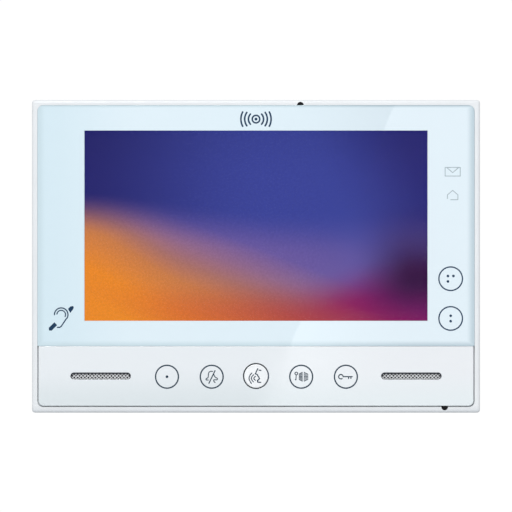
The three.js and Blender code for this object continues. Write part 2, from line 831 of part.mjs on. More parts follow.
// Line transformer behind the board: core, with a wider bobbin.
function busTransformer() {
  const { width, height, depth, x } = TRANSFORMER;
  const low = onBoardBack - depth;
  return join(
    slab({ width, height, x, y: upperBandY }, low + 1, onBoardBack - 1),
    slab({ width: width - 5, height: height + 2, x, y: upperBandY, radius: 1 }, low, onBoardBack),
  );
}

// Electrolytic capacitor lying on the board, with its crimp groove.
function supplyCapacitor() {
  const { radius, length, x } = CAPACITOR;
  const groove = 0.35;
  const half = length / 2;
  const profile = [
    [0, -half],
    [radius, -half],
    [radius, half - 2.6],
    [radius - groove, half - 2.1],
    [radius, half - 1.6],
    [radius, half],
    [0, half],
  ].map(([r, along]) => new THREE.Vector2(r, along));
  const can = new THREE.LatheGeometry(profile, 20);
  return solidOf(can.rotateZ(Math.PI / 2).translate(x, upperBandY, onBoardBack - radius));
}

function lcdSocket() {
  const edge = { width: SOCKET.width, height: SOCKET.height, x: SOCKET.x, y: socketY };
  return slab(edge, onBoardFront, socketFront);
}

// Screw terminals for the bus line, reached from behind through the cover's floor.
const terminalScrews = Array.from(
  { length: TERMINAL.ways },
  (_, k) => TERMINAL.x + (k - (TERMINAL.ways - 1) / 2) * TERMINAL.pitch,
);
const terminalEdge = {
  width: TERMINAL.ways * TERMINAL.pitch + 0.8,
  height: TERMINAL.height,
  x: TERMINAL.x,
  y: CABLE_WINDOW.y,
};
const terminalLow = onBoardBack - TERMINAL.depth;
const TERMINAL_SCREW = { radius: 1.6, depth: 2.6 };

function terminalBlock() {
  const wells = terminalScrews.map((x) =>
    disc(TERMINAL_SCREW.radius + 0.2, terminalLow - 1, terminalLow + 3.2, x, CABLE_WINDOW.y + 1),
  );
  const entries = terminalScrews.map((x) =>
    slab(
      between(x - 1.5, x + 1.5, CABLE_WINDOW.y - TERMINAL.height, CABLE_WINDOW.y - 1.4),
      terminalLow + 3.6,
      terminalLow + 6.2,
    ),
  );
  return cut(slab({ ...terminalEdge, radius: 0.4 }, terminalLow, onBoardBack), wells, entries);
}

function terminalScrew(x) {
  const y = CABLE_WINDOW.y + 1;
  const low = terminalLow + 0.4;
  return cut(
    disc(TERMINAL_SCREW.radius, low, low + TERMINAL_SCREW.depth, x, y),
    slab({ width: 4, height: 0.6, x, y }, low - 1, low + 0.7),
  );
}

// Bank of code switches beside the terminals.
const dipLow = onBoardBack - DIP.depth;
const dipEdge = {
  width: DIP.levers * DIP.pitch + 1.4,
  height: DIP.height,
  x: DIP.x,
  y: CABLE_WINDOW.y,
};
const dipLevers = Array.from(
  { length: DIP.levers },
  (_, k) => DIP.x + (k - (DIP.levers - 1) / 2) * DIP.pitch,
);
const dipSlotHeight = DIP_LEVER.height + DIP.travel + 0.4;

function dipSwitchBody() {
  const slots = dipLevers.map((x) =>
    slab(
      { width: DIP_LEVER.width + 0.3, height: dipSlotHeight, x, y: CABLE_WINDOW.y },
      dipLow - 1,
      dipLow + DIP_LEVER.sunk + 0.2,
    ),
  );
  return cut(slab({ ...dipEdge, radius: 0.3 }, dipLow, onBoardBack), slots);
}

function dipLever(x) {
  const y = CABLE_WINDOW.y - DIP.travel / 2;
  const edge = { width: DIP_LEVER.width, height: DIP_LEVER.height, x, y };
  return slab(edge, dipLow - DIP_LEVER.proud, dipLow + DIP_LEVER.sunk);
}

// Flat cable from the main board to the key board.
function keyRibbon() {
  const start = onBoardFront + RIBBON_THICKNESS;
  const end = keyBoardBack - SEAT_GAP - RIBBON_THICKNESS;
  const fromY = boardY - BOARD.height / 2;
  const toY = rowY + KEY_BOARD.height / 2 - 1;
  const middleY = (fromY + toY) / 2;
  const path = new THREE.Path();
  path.moveTo(fromY + 6, start);
  path.lineTo(fromY - 1, start);
  path.bezierCurveTo(middleY, start, middleY, end, toY, end);
  path.lineTo(toY - 6, end);
  return ribbon(path, DIP.x, KEY_RIBBON_WIDTH);
}

// Wire pair from a speaker to the edge of the main board.
function speakerLead(side) {
  const magnetBack = driverFront() - DRIVER.flange - DRIVER.basket - DRIVER.magnetDepth;
  const x = side * (slotX - DRIVER.magnet - 3);
  const start = magnetBack + DRIVER.magnetDepth - LEAD_RADIUS - 0.3;
  const endY = boardY - BOARD.height / 2 + 5;
  const end = onBoardFront + LEAD_RADIUS;
  return lead([
    [x, rowY + 3, start],
    [x - side * 2, rowY + DRIVER.height / 2 + 3, (start + end) / 2],
    [x - side * 5, endY - 8, end + 0.3],
    [x - side * 5, endY, end],
  ]);
}

// ---------------------------------------------------------------- microphones and loop coil
// Rubber boot under the flange, with a nozzle that fills the half-round port in the rim.
function bootBody(up) {
  const wallY = (up * cavity.height) / 2;
  const high = flangeBack - SEAT_GAP;
  return { y: wallY - up * (BOOT.height / 2 + FIT_GAP), low: high - BOOT.depth, high };
}

function microphoneBoot({ x, y, up }) {
  const { y: bodyY, low, high } = bootBody(up);
  const front = DEPTH - BOOT.setback;
  const nozzle = disc(PORT_RADIUS - PORT_CLEARANCE, high - 0.4, front, x, y, 24);
  const besideGlass = slab({ width: 8, height: 8, x, y: y - up * 4 }, ledgeZ - 0.2, DEPTH);
  const edge = { width: BOOT.width, height: BOOT.height, x, y: bodyY, radius: 0.8 };
  return cut(
    join(slab(edge, low, high), cut(nozzle, besideGlass)),
    disc(CAPSULE.radius + 0.1, low - 1, low + CAPSULE.depth + 0.6, x, bodyY),
  );
}

function microphone({ x, up }) {
  const { y, low } = bootBody(up);
  return disc(CAPSULE.radius, low + FIT_GAP, low + FIT_GAP + CAPSULE.depth, x, y);
}

function hearingLoopCoil() {
  const y = moduleOpening.bottom + COIL.height / 2 + 1.5;
  const high = flangeBack - SEAT_GAP;
  const inner = obround(COIL.width - 2 * COIL.wire, COIL.height - 2 * COIL.wire, -stripX, y, 4);
  const outer = obround(COIL.width, COIL.height, -stripX, y, 4);
  return plate(outer, [inner], high - COIL.depth, high);
}

// ---------------------------------------------------------------- rear cover
function coverSections(inset, low, high) {
  const outer = { width: WIDTH - 2 * COVER_STEP, height: HEIGHT - 2 * COVER_STEP };
  const share = (z) => COVER_DRAFT * (1 - (z - COVER_LIFT) / (splitZ - COVER_LIFT));
  const section = (z, extra) => ({
    width: outer.width - 2 * (inset + share(z) + extra),
    height: outer.height - 2 * (inset + share(z) + extra),
    radius: Math.max(COVER_CORNER - inset, 0.8),
    z,
  });
  const chamfered = inset ? [] : [section(low, COVER_CHAMFER)];
  return [...chamfered, section(low + (inset ? 0 : COVER_CHAMFER), 0), section(high, 0)];
}

function rearCover() {
  const top = splitZ - SEAT_GAP;
  const skin = cut(
    loft(coverSections(0, COVER_LIFT, top)),
    loft(coverSections(COVER_WALL, coverFloorFront, top + 0.01)),
  );
  const pocketEdge = between(-pocket.width / 2, pocket.width / 2, pocket.bottom, pocket.top);
  const grow = (edge, by) => ({ ...edge, width: edge.width + 2 * by, height: edge.height + 2 * by });
  const pan = slab({ ...grow(pocketEdge, COVER_WALL), radius: 4 }, COVER_LIFT + 1, pocketFloorFront);
  const lipOuter = { width: cavity.width - FIT_GAP, height: cavity.height - FIT_GAP, radius: 1 };
  const lipInner = grow(lipOuter, -LIP_THICKNESS);
  const lip = plate(lipOuter, [lipInner], top - 1.5, splitZ + LIP_HEIGHT);
  const supports = boardPosts.map(([x, y]) => {
    const low = y < pocket.top && y > pocket.bottom ? pocketFloorBack : COVER_LIFT;
    return disc(BOARD_POST.radius, low + 0.5, boardBack - SEAT_GAP, x, y);
  });
  const clearance = CASE_SCREW.shank + SCREW_CLEARANCE;
  const bore = CASE_SCREW.head + SCREW_CLEARANCE;
  const postTop = bossBottom - SEAT_GAP;
  const casePosts = caseScrews.map(([x, y]) =>
    disc(bore + BOSS_WALL * 0.8, COVER_LIFT + 1, postTop, x, y),
  );
  const boardPilot = BOARD_SCREW.shank + PILOT_CLEARANCE;
  return cut(
    join(skin, pan, lip, supports, casePosts),
    slab({ ...pocketEdge, radius: 2 }, COVER_LIFT - 1, pocketFloorBack),
    caseScrews.map(([x, y]) => disc(bore, COVER_LIFT - 1, screwSeatZ, x, y)),
    caseScrews.map(([x, y]) => disc(clearance, COVER_LIFT, postTop + 1, x, y, 12)),
    boardPosts.map(([x, y]) => disc(boardPilot, pocketFloorFront, boardBack, x, y, 12)),
    hookSlots().map((slot) => slab(slot, COVER_LIFT, pocketFloorFront + 1)),
    [terminalEdge, dipEdge].map((edge) =>
      slab({ ...grow(edge, WINDOW_CLEARANCE), radius: 0.8 }, COVER_LIFT, pocketFloorFront + 1),
    ),
    vents().map((vent) => slab(vent, COVER_LIFT - 1, coverFloorFront + 0.5)),
  );
}

const screwSeatZ = bossBottom + CASE_SCREW.bite - CASE_SCREW.length;

// The lower slots are hidden by the hooks; each lets a hook in when the monitor is lifted.
function hookSlots() {
  const height = BRACKET.sheet + HOOK.rise + LIFT_CLEARANCE / 2 + 0.4;
  return HOOK.rows.flatMap((row) =>
    [-1, 1].map((side) => {
      const top = row + BRACKET.sheet / 2 + SEAT_GAP * 2;
      return {
        width: HOOK.width + 4 * HOOK_CLEARANCE,
        height,
        x: side * HOOK.x,
        y: top - height / 2,
      };
    }),
  );
}

function vents() {
  const bottomY = (pocket.bottom - COVER_WALL - HEIGHT / 2 + COVER_STEP + COVER_DRAFT) / 2;
  return [upperBandY, bottomY].flatMap((y) =>
    Array.from({ length: VENT.count }, (_, k) =>
      obround(VENT.width, VENT.height, (k - (VENT.count - 1) / 2) * VENT.pitch, y),
    ),
  );
}

// ---------------------------------------------------------------- wall bracket
function wallBracket() {
  const { width, height, sheet, corner, flange } = BRACKET;
  const window = {
    width: CABLE_WINDOW.width,
    height: CABLE_WINDOW.height,
    y: CABLE_WINDOW.y,
    radius: CABLE_WINDOW.corner,
    steps: CORNER_STEPS,
  };
  const slots = WALL_SLOT.x.flatMap((x) =>
    [-1, 1].map((side) => obround(WALL_SLOT.width, WALL_SLOT.height, side * x, WALL_SLOT.y, 3)),
  );
  const base = plate({ width, height, radius: corner, steps: 4 }, [window, ...slots], 0, sheet);
  const fold = (side) =>
    slab(
      { width: sheet, height: height - 4 * corner, x: (side * (width - sheet)) / 2 },
      0,
      sheet + flange,
    );
  return join(base, fold(-1), fold(1), hooks(), hookPads());
}

// Each hook is a tab bent out of the plate, with its end turned up behind the cover's floor.
function hooks() {
  const low = pocketFloorFront + HOOK_CLEARANCE;
  return HOOK.rows.flatMap((row) =>
    [-1, 1].flatMap((side) => {
      const stem = { width: HOOK.width, height: BRACKET.sheet, x: side * HOOK.x, y: row };
      const finger = { ...stem, height: BRACKET.sheet + HOOK.rise, y: row + HOOK.rise / 2 };
      return [
        slab(stem, BRACKET.sheet / 2, low + BRACKET.sheet),
        slab(finger, low, low + BRACKET.sheet),
      ];
    }),
  );
}

// Pressed pads beside the hooks that the cover's floor leans on.
function hookPads() {
  const high = pocketFloorBack - HOOK_CLEARANCE / 2;
  return HOOK.rows.flatMap((row) =>
    [-1, 1].map((side) =>
      disc(2.6, BRACKET.sheet / 2, high, side * (HOOK.x - HOOK.width), row, PLAIN),
    ),
  );
}

// ---------------------------------------------------------------- screws
// A cross-headed screw whose head is at low z and whose shank points to high z, or the reverse.
function screw({ shank, head, headHeight, length }, x, y, seat, towards) {
  const ends = (a, b) => (towards > 0 ? [a, b] : [-b, -a]);
  const at = (a, b) => ends(a, b).map((z) => seat + z);
  const [slotLow, slotHigh] = at(-headHeight - 1, -headHeight + CROSS_SLOT.depth);
  const { length: long, width: wide } = CROSS_SLOT;
  return cut(
    join(
      disc(head, ...at(-headHeight, 0), x, y),
      disc(shank, ...at(-0.2, length), x, y, 12),
    ),
    slab({ width: long, height: wide, x, y }, slotLow, slotHigh),
    slab({ width: wide, height: long, x, y }, slotLow, slotHigh),
  );
}

// ---------------------------------------------------------------- assembly
add("wall_bracket", wallBracket(), finish.bracket);
add("rear_cover", rearCover(), finish.case);
add("front_bezel", frontBezel(), finish.case);
add("display_glass", displayGlass(), finish.glass);
add("glass_tape", glassTape(), finish.tape);
add("control_fascia", controlFascia(), finish.fascia);
add("talk_button", talkButton(), finish.fascia);
add("talk_plunger", talkPlunger(), finish.component);
add("talk_switch", talkSwitch(), finish.component);
add("key_board", keyBoard(), finish.board);
add("key_light_guide", keyLightGuide(), finish.diffuser);
add("side_key_board", sideKeyBoard(), finish.board);
add("touch_mat", touchMat(), finish.foam);
add("status_light_shroud", statusLightShroud(), finish.diffuser);
for (const [name, side] of [
  ["left", -1],
  ["right", 1],
]) {
  add(`speaker_mesh_${name}`, speakerMesh(side), finish.grille);
  add(`speaker_driver_${name}`, speakerDriver(side), finish.component);
  add(`speaker_cone_${name}`, speakerCone(side), finish.cone);
  add(`speaker_lead_${name}`, speakerLead(side), finish.component);
}
for (const port of ports()) {
  add(`microphone_boot_${port.name}`, microphoneBoot(port), finish.rubber);
  add(`microphone_${port.name}`, microphone(port), finish.steel);
}
add("hearing_loop_coil", hearingLoopCoil(), finish.copper);
add("lcd_seal", lcdSeal(), finish.foam);
add("lcd_frame", lcdFrame(), finish.steel);
add("lcd_cell", lcdCell(), finish.screen);
add("lcd_light_guide", lcdLightGuide(), finish.diffuser);
add("lcd_tray", lcdTray(), finish.steel);
add("lcd_clamp_top", lcdClamp(1), finish.steel);
add("lcd_clamp_bottom", lcdClamp(-1), finish.steel);
add("lcd_ribbon", lcdRibbon(), finish.ribbon);
add("lcd_socket", lcdSocket(), finish.diffuser);
add("main_board", mainBoard(), finish.board);
add("processor_shield", processorShield(), finish.steel);
add("bus_transformer", busTransformer(), finish.component);
add("supply_capacitor", supplyCapacitor(), finish.component);
add("key_ribbon", keyRibbon(), finish.ribbon);
add("terminal_block", terminalBlock(), finish.terminal);
terminalScrews.forEach((x, k) => add(`terminal_screw_${k + 1}`, terminalScrew(x), finish.screw));
add("dip_switch_body", dipSwitchBody(), finish.dip);
dipLevers.forEach((x, k) => add(`dip_lever_${k + 1}`, dipLever(x), finish.diffuser));
caseScrews.forEach(([x, y], k) =>
  add(`case_screw_${k + 1}`, screw(CASE_SCREW, x, y, screwSeatZ - SEAT_GAP, 1), finish.screw),
);
boardPosts.forEach(([x, y], k) =>
  add(`board_screw_${k + 1}`, screw(BOARD_SCREW, x, y, onBoardFront, -1), finish.screw),
);

export default monitor;
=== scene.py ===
"""Looks of the wall-mounted video intercom monitor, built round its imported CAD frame."""

import json
import math

import bmesh
import bpy
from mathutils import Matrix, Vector
from mathutils.geometry import delaunay_2d_cdt, tessellate_polygon


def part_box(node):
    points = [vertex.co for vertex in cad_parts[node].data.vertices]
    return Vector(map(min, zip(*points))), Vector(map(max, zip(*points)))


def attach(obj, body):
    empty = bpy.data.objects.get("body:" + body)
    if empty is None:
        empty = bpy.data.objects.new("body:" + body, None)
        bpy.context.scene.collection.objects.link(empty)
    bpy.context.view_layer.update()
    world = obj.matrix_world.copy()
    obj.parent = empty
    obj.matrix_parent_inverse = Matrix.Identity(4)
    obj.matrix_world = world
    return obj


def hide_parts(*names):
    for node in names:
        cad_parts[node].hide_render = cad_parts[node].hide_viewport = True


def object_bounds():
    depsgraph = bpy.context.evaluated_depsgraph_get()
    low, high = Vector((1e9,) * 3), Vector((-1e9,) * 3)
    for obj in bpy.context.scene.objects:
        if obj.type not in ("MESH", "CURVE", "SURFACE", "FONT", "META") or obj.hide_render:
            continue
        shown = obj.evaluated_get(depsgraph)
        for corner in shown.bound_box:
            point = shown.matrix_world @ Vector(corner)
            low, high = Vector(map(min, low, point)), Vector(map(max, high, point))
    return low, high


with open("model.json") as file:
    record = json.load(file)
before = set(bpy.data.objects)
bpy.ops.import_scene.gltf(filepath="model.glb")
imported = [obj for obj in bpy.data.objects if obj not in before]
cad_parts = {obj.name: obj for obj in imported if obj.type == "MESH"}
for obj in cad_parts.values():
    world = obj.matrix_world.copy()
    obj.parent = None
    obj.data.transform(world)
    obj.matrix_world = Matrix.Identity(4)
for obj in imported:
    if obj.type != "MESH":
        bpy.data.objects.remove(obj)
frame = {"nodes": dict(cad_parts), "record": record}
CAD_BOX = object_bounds()

MM = 0.001

# ---------------------------------------------------------------- places, read from the frame


class Face:
    """A CAD node's extent in the face frame, in mm: x right, y up, z out of the wall."""

    def __init__(self, node):
        low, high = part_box(node)
        self.left, self.right = low.x / MM, high.x / MM
        self.bottom, self.top = low.z / MM, high.z / MM
        self.back, self.front = -high.y / MM, -low.y / MM
        self.width, self.height = self.right - self.left, self.top - self.bottom
        self.x, self.y = (self.left + self.right) / 2, (self.bottom + self.top) / 2


def point(x, y, z):
    """A point of the face frame, in metres of the row frame."""
    return Vector((x, -z, y)) * MM


GLASS = Face("display_glass")
FASCIA = Face("control_fascia")
TALK = Face("talk_button")
MESHES = {side: Face(f"speaker_mesh_{side}") for side in ("left", "right")}

# Sizes in mm, places as x and y in the face frame.
SCREEN = (154.08, 85.92)  # active area of the display
SCREEN_Y = 13.8  # middle of the display
WINDOW = (154.7, 85.8)  # unprinted part of the glass
WINDOW_CORNER = 0.15
CORNER = 2.4  # outer corners of glass and fascia
SEAM_CORNER = 0.3  # their corners at the seam between them
GLASS_EDGE = 0.12  # rounding of the ground edge
GLASS_REACH = 0.1  # bonded in tight: the sheet ends just short of the rim
FASCIA_THICKNESS = 2.25
FASCIA_EDGE = 0.28
FASCIA_BACK = FASCIA.front - FASCIA_THICKNESS
SLOT = (27.2, 3.1)
TALK_HOLE = 5.85
TALK_RADIUS = TALK_HOLE - 0.5
TALK_SHOULDER = 0.45
TALK_DISH = 0.2
STEM_RADIUS = 1.75  # back of the talk button
MESH_PITCH = 1.6
MESH_STRAND = 0.43
MESH_RIM = 0.9
PRINT = 0.03  # thickness of printed marks
KEY_PITCH = 20.15
KEY_X, KEY_Y = 0.2, -54.25  # middle of the row of touch keys
KEY_RING, KEY_RING_LINE = 5.45, 0.62  # outer radius and width of the rings on the fascia
SIDE_RING, SIDE_RING_LINE = 5.6, 0.6
SIDE_X = (SCREEN[0] + GLASS.width) / 4  # middle of the border beside the screen
SIDE_KEYS = (-10.1, -28.0)  # heights of the touch keys beside the screen
STATUS_X = SIDE_X + 0.9
MESSAGE_Y, HOME_Y = 38.1, 27.6
LOOP_SIGN = (-87.8, -27.9)
CALLER_SIGN = (0.0, 61.8)

# ---------------------------------------------------------------- outlines in the face frame


def rounded(width, height, radius, x=0.0, y=0.0, steps=10):
    """Rectangle with round corners, anticlockwise from its right side."""
    points = []
    for quarter, (right, up) in enumerate(((1, 1), (-1, 1), (-1, -1), (1, -1))):
        cx = x + right * (width / 2 - radius)
        cy = y + up * (height / 2 - radius)
        for step in range(steps + 1):
            angle = (quarter + step / steps) * math.pi / 2
            points.append((cx + radius * math.cos(angle), cy + radius * math.sin(angle)))
    return points


def sheet_outline(face, inset, lower, upper, reach=0.0):
    """A plate's outline, with one corner radius for its lower and one for its upper corners.

    reach widens it at the sides and at the top.
    """
    points = []
    corners = ((1, 1, upper), (-1, 1, upper), (-1, -1, lower), (1, -1, lower))
    for quarter, (right, up, radius) in enumerate(corners):
        radius = max(radius - inset, 0.02)
        cx = face.x + right * (face.width / 2 + reach - inset - radius)
        cy = face.y + up * (face.height / 2 - inset - radius) + (reach if up > 0 else 0)
        points += arc(cx, cy, radius, 90 * quarter, 90 * quarter + 90, 10)
    return points


def circle(radius, x=0.0, y=0.0, sides=72):
    return arc(x, y, radius, 0, 360 - 360 / sides, sides - 1)


def arc(x, y, radius, start, end, steps=16):
    """Points on a circle from one angle to another, in degrees."""
    angles = [math.radians(start + (end - start) * k / steps) for k in range(steps + 1)]
    return [(x + radius * math.cos(a), y + radius * math.sin(a)) for a in angles]


def anticlockwise(points):
    area = sum(a[0] * b[1] - b[0] * a[1] for a, b in zip(points, points[1:] + points[:1]))
    return points if area > 0 else points[::-1]


def moved(points, x, y):
    return [(x + px, y + py) for px, py in points]


def capsule(a, b, width, steps=6):
    """Outline of a straight stroke with round ends."""
    turn = math.degrees(math.atan2(b[1] - a[1], b[0] - a[0]))
    far = arc(b[0], b[1], width / 2, turn - 90, turn + 90, steps)
    near = arc(a[0], a[1], width / 2, turn + 90, turn + 270, steps)
    return far + near


def stroke(points, width, closed=False):
    """Outlines that cover a line drawn through the points."""
    ends = points + points[:1] if closed else points
    return [capsule(a, b, width) for a, b in zip(ends, ends[1:])]


def smooth_line(points, steps=5):
    """A soft curve through given points."""
    padded = [points[0], *points, points[-1]]
    found = []
    for p0, p1, p2, p3 in zip(padded, padded[1:], padded[2:], padded[3:]):
        for k in range(steps):
            t = k / steps
            weights = (
                (-t + 2 * t**2 - t**3) / 2,
                (2 - 5 * t**2 + 3 * t**3) / 2,
                (t + 4 * t**2 - 3 * t**3) / 2,
                (-(t**2) + t**3) / 2,
            )
            found.append(
                tuple(sum(w * p[i] for w, p in zip(weights, (p0, p1, p2, p3))) for i in (0, 1))
            )
    return [*found, points[-1]]


# ---------------------------------------------------------------- meshes


def piece(name, bm, body, materials, replaces=(), angle=35.0):
    """Turns a bmesh into a piece that rides on a body."""
    bmesh.ops.recalc_face_normals(bm, faces=bm.faces)
    mesh = bpy.data.meshes.new(name)
    bm.to_mesh(mesh)
    bm.free()
    obj = bpy.data.objects.new(name, mesh)
    bpy.context.scene.collection.objects.link(obj)
    for material in materials:
        mesh.materials.append(material)
    soften(obj, angle)
    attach(obj, body)
    if replaces:
        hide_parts(*replaces)
    return obj


def soften(obj, angle=35.0):
    """Smooth shading with crisp edges, so that flat faces stay flat."""
    obj.data.shade_smooth()
    obj.data.set_sharp_from_angle(angle=math.radians(angle))
    weighted = obj.modifiers.new("weighted normals", "WEIGHTED_NORMAL")
    weighted.keep_sharp = True


def ring_of(bm, outline, z):
    return [bm.verts.new(point(x, y, z)) for x, y in outline]


def walls(bm, rings, material=0):
    for low, high in zip(rings, rings[1:]):
        for k in range(len(low)):
            n = (k + 1) % len(low)
            bm.faces.new((low[k], low[n], high[n], high[k])).material_index = material


def cap(bm, loops, material=0):
    """Fills an outline, less its holes, with triangles."""
    verts = [v for loop in loops for v in loop]
    flat = [[Vector((v.co.x, v.co.z, 0.0)) for v in loop] for loop in loops]
    for corners in tessellate_polygon(flat):
        bm.faces.new([verts[k] for k in corners]).material_index = material


def frame_round(bm, outer, inner, back, front):
    """A flat frame between two outlines."""
    low = [ring_of(bm, line, back) for line in (outer, inner)]
    high = [ring_of(bm, line, front) for line in (outer, inner)]
    walls(bm, [low[1], low[0], high[0], high[1], low[1]])


def round_over(edge, steps=5):
    """(inset, drop) pairs of a quarter round, from the side to the front."""
    angles = [math.pi / 2 * k / steps for k in range(steps + 1)]
    return [(edge * (1 - math.cos(a)), edge * (1 - math.sin(a))) for a in angles]


def panel(outline, holes, back, front, edge, hole_edge):
    """A flat plate whose front edges are rounded over.

    outline and holes are functions from an inset to an outline: a positive inset is smaller.
    """
    bm = bmesh.new()
    outer = [ring_of(bm, outline(0), back)]
    outer += [ring_of(bm, outline(inset), front - drop) for inset, drop in round_over(edge)]
    walls(bm, outer)
    inner = []
    for hole in holes:
        rings = [ring_of(bm, hole(0), back)]
        rings += [ring_of(bm, hole(-i), front - drop) for i, drop in round_over(hole_edge)]
        walls(bm, rings)
        inner.append(rings)
    cap(bm, [outer[0], *[rings[0] for rings in inner]])
    cap(bm, [outer[-1], *[rings[-1] for rings in inner]])
    return bm


def turned(bm, profile, x, y, sides=96, second=0):
    """A solid of revolution about the axis through (x, y), from [radius, z] points.

    The walls between the first `second` points take the second material.
    """
    rings = [ring_of(bm, circle(r, x, y, sides), z) for r, z in profile]
    walls(bm, rings[: second + 1], 1)
    walls(bm, rings[second:])
    for ring, (_, z) in ((rings[0], profile[0]), (rings[-1], profile[-1])):
        tip = bm.verts.new(point(x, y, z))
        for k in range(sides):
            bm.faces.new((ring[k], ring[(k + 1) % sides], tip))


def printed(name, outlines, z, body, material):
    """A mark of ink: the union of the outlines, as a thin closed solid."""
    coords, faces = [], []
    for outline in outlines:
        faces.append(list(range(len(coords), len(coords) + len(outline))))
        coords += [Vector(p) for p in anticlockwise(outline)]
    made = delaunay_2d_cdt(coords, [], faces, 0, 1e-5)
    verts, triangles, owners = made[0], made[2], made[5]
    bm = bmesh.new()
    low = [bm.verts.new(point(v.x, v.y, z)) for v in verts]
    high = [bm.verts.new(point(v.x, v.y, z + PRINT)) for v in verts]
    inked = [t for t, owner in zip(triangles, owners) if owner]
    used = {}
    for a, b, c in inked:
        bm.faces.new((low[a], low[b], low[c]))
        bm.faces.new((high[a], high[b], high[c]))
        for pair in ((a, b), (b, c), (c, a)):
            key = tuple(sorted(pair))
            used[key] = used.get(key, 0) + 1
    for (a, b), count in used.items():
        if count == 1:
            bm.faces.new((low[a], low[b], high[b], high[a]))
    bmesh.ops.delete(bm, geom=[v for v in bm.verts if not v.link_faces], context="VERTS")
    return piece(name, bm, body, [material], angle=30)


def ring_mark(name, radius, width, x, y, z, material):
    """A printed circle line on the case; radius is its outer one."""
    bm = bmesh.new()
    rings = [
        ring_of(bm, circle(radius - width, x, y), z),
        ring_of(bm, circle(radius, x, y), z),
        ring_of(bm, circle(radius, x, y), z + PRINT),
        ring_of(bm, circle(radius - width, x, y), z + PRINT),
    ]
    walls(bm, [*rings, rings[0]])
    piece(name, bm, "monitor", [material], angle=30)


# ---------------------------------------------------------------- materials


class Nodes:
    """A material's node tree with a Principled shader and short calls to feed it.

    color and roughness are what a viewer that reads no nodes shows.
    """

    def __init__(self, name, color, roughness, **settings):
        self.material = bpy.data.materials.new(name)
        self.material.use_nodes = True
        self.tree = self.material.node_tree
        self.shader = self.tree.nodes["Principled BSDF"]
        self.shader.inputs["Base Color"].default_value = (*color, 1)
        self.shader.inputs["Roughness"].default_value = roughness
        for socket, value in settings.items():
            self.shader.inputs[socket.replace("_", " ")].default_value = value
        self.place = self.tree.nodes.new("ShaderNodeTexCoord").outputs["Object"]

    def feed(self, socket, value):
        """Links an output to a socket, or sets a constant on it."""
        if isinstance(value, bpy.types.NodeSocket):
            self.tree.links.new(value, socket)
        elif value is not None:
            socket.default_value = value

    def math(self, operation, a, b=None):
        node = self.tree.nodes.new("ShaderNodeMath")
        node.operation = operation
        self.feed(node.inputs[0], a)
        self.feed(node.inputs[1], b)
        return node.outputs[0]

    def axes(self):
        """x, y and z of the place, in metres of the row frame."""
        node = self.tree.nodes.new("ShaderNodeSeparateXYZ")
        self.feed(node.inputs[0], self.place)
        return node.outputs

    def span(self, value, low, high, to_low=0.0, to_high=1.0, smooth=True):
        """value from low..high to to_low..to_high, with soft ends."""
        node = self.tree.nodes.new("ShaderNodeMapRange")
        node.interpolation_type = "SMOOTHSTEP" if smooth else "LINEAR"
        self.feed(node.inputs["Value"], value)
        for name, number in (
            ("From Min", low),
            ("From Max", high),
            ("To Min", to_low),
            ("To Max", to_high),
        ):
            node.inputs[name].default_value = number
        return node.outputs["Result"]

    def mix(self, share, a, b, blend="MIX"):
        """Colour a, turning into b as share goes from 0 to 1."""
        node = self.tree.nodes.new("ShaderNodeMix")
        node.data_type = "RGBA"
        node.blend_type = blend
        self.feed(node.inputs["Factor"], share)
        self.feed(node.inputs["A"], a if isinstance(a, bpy.types.NodeSocket) else (*a, 1))
        self.feed(node.inputs["B"], b if isinstance(b, bpy.types.NodeSocket) else (*b, 1))
        return node.outputs["Result"]

    def noise(self, grain, detail=2.0, stretch=(1, 1, 1)):
        """Noise whose grains are about this many mm across."""
        mapping = self.tree.nodes.new("ShaderNodeMapping")
        mapping.inputs["Scale"].default_value = stretch
        self.feed(mapping.inputs["Vector"], self.place)
        node = self.tree.nodes.new("ShaderNodeTexNoise")
        node.inputs["Scale"].default_value = 1 / (grain * MM)
        node.inputs["Detail"].default_value = detail
        self.feed(node.inputs["Vector"], mapping.outputs[0])
        return node.outputs["Fac"]

    def bump(self, height, strength, distance):
        """Bump from a 0..1 height that is distance mm deep."""
        node = self.tree.nodes.new("ShaderNodeBump")
        node.inputs["Strength"].default_value = strength
        node.inputs["Distance"].default_value = distance * MM
        self.feed(node.inputs["Height"], height)
        self.feed(self.shader.inputs["Normal"], node.outputs[0])

    def tinted(self, color, grain, amount, detail=2.0):
        """color with uneven patches: amount is the depth of the change."""
        dark = tuple(c * (1 - amount) for c in color)
        light = tuple(min(c * (1 + amount), 1) for c in color)
        return self.mix(self.span(self.noise(grain, detail), 0.3, 0.7), dark, light)

    def base(self, value):
        self.feed(self.shader.inputs["Base Color"], value)

    def rough(self, low, high, grain, detail=2.0):
        """Roughness that wanders between two values."""
        value = self.span(self.noise(grain, detail), 0.3, 0.7, low, high)
        self.feed(self.shader.inputs["Roughness"], value)


def moulded(name, color, roughness, grain=0.35, depth=0.012, mottle=0.012, **settings):
    """Moulded plastic: faint flow patches and a fine spark-eroded texture."""
    nodes = Nodes(name, color, roughness, **settings)
    nodes.base(nodes.tinted(color, 14, mottle))
    nodes.rough(roughness * 0.9, roughness * 1.12, 6)
    if depth:
        nodes.bump(nodes.noise(grain, 3), 0.35, depth)
    return nodes.material


def sheet_metal(name, color, roughness, stretch=(1, 1, 1), grain=0.5, depth=0.006):
    """Rolled or plated metal: drawn-out grain and cloudy plating."""
    nodes = Nodes(name, color, roughness, Metallic=1.0)
    nodes.base(nodes.tinted(color, 9, 0.09, 3))
    nodes.rough(roughness * 0.75, roughness * 1.3, 3, 3)
    nodes.bump(nodes.noise(grain, 3, stretch), 0.4, depth)
    return nodes.material


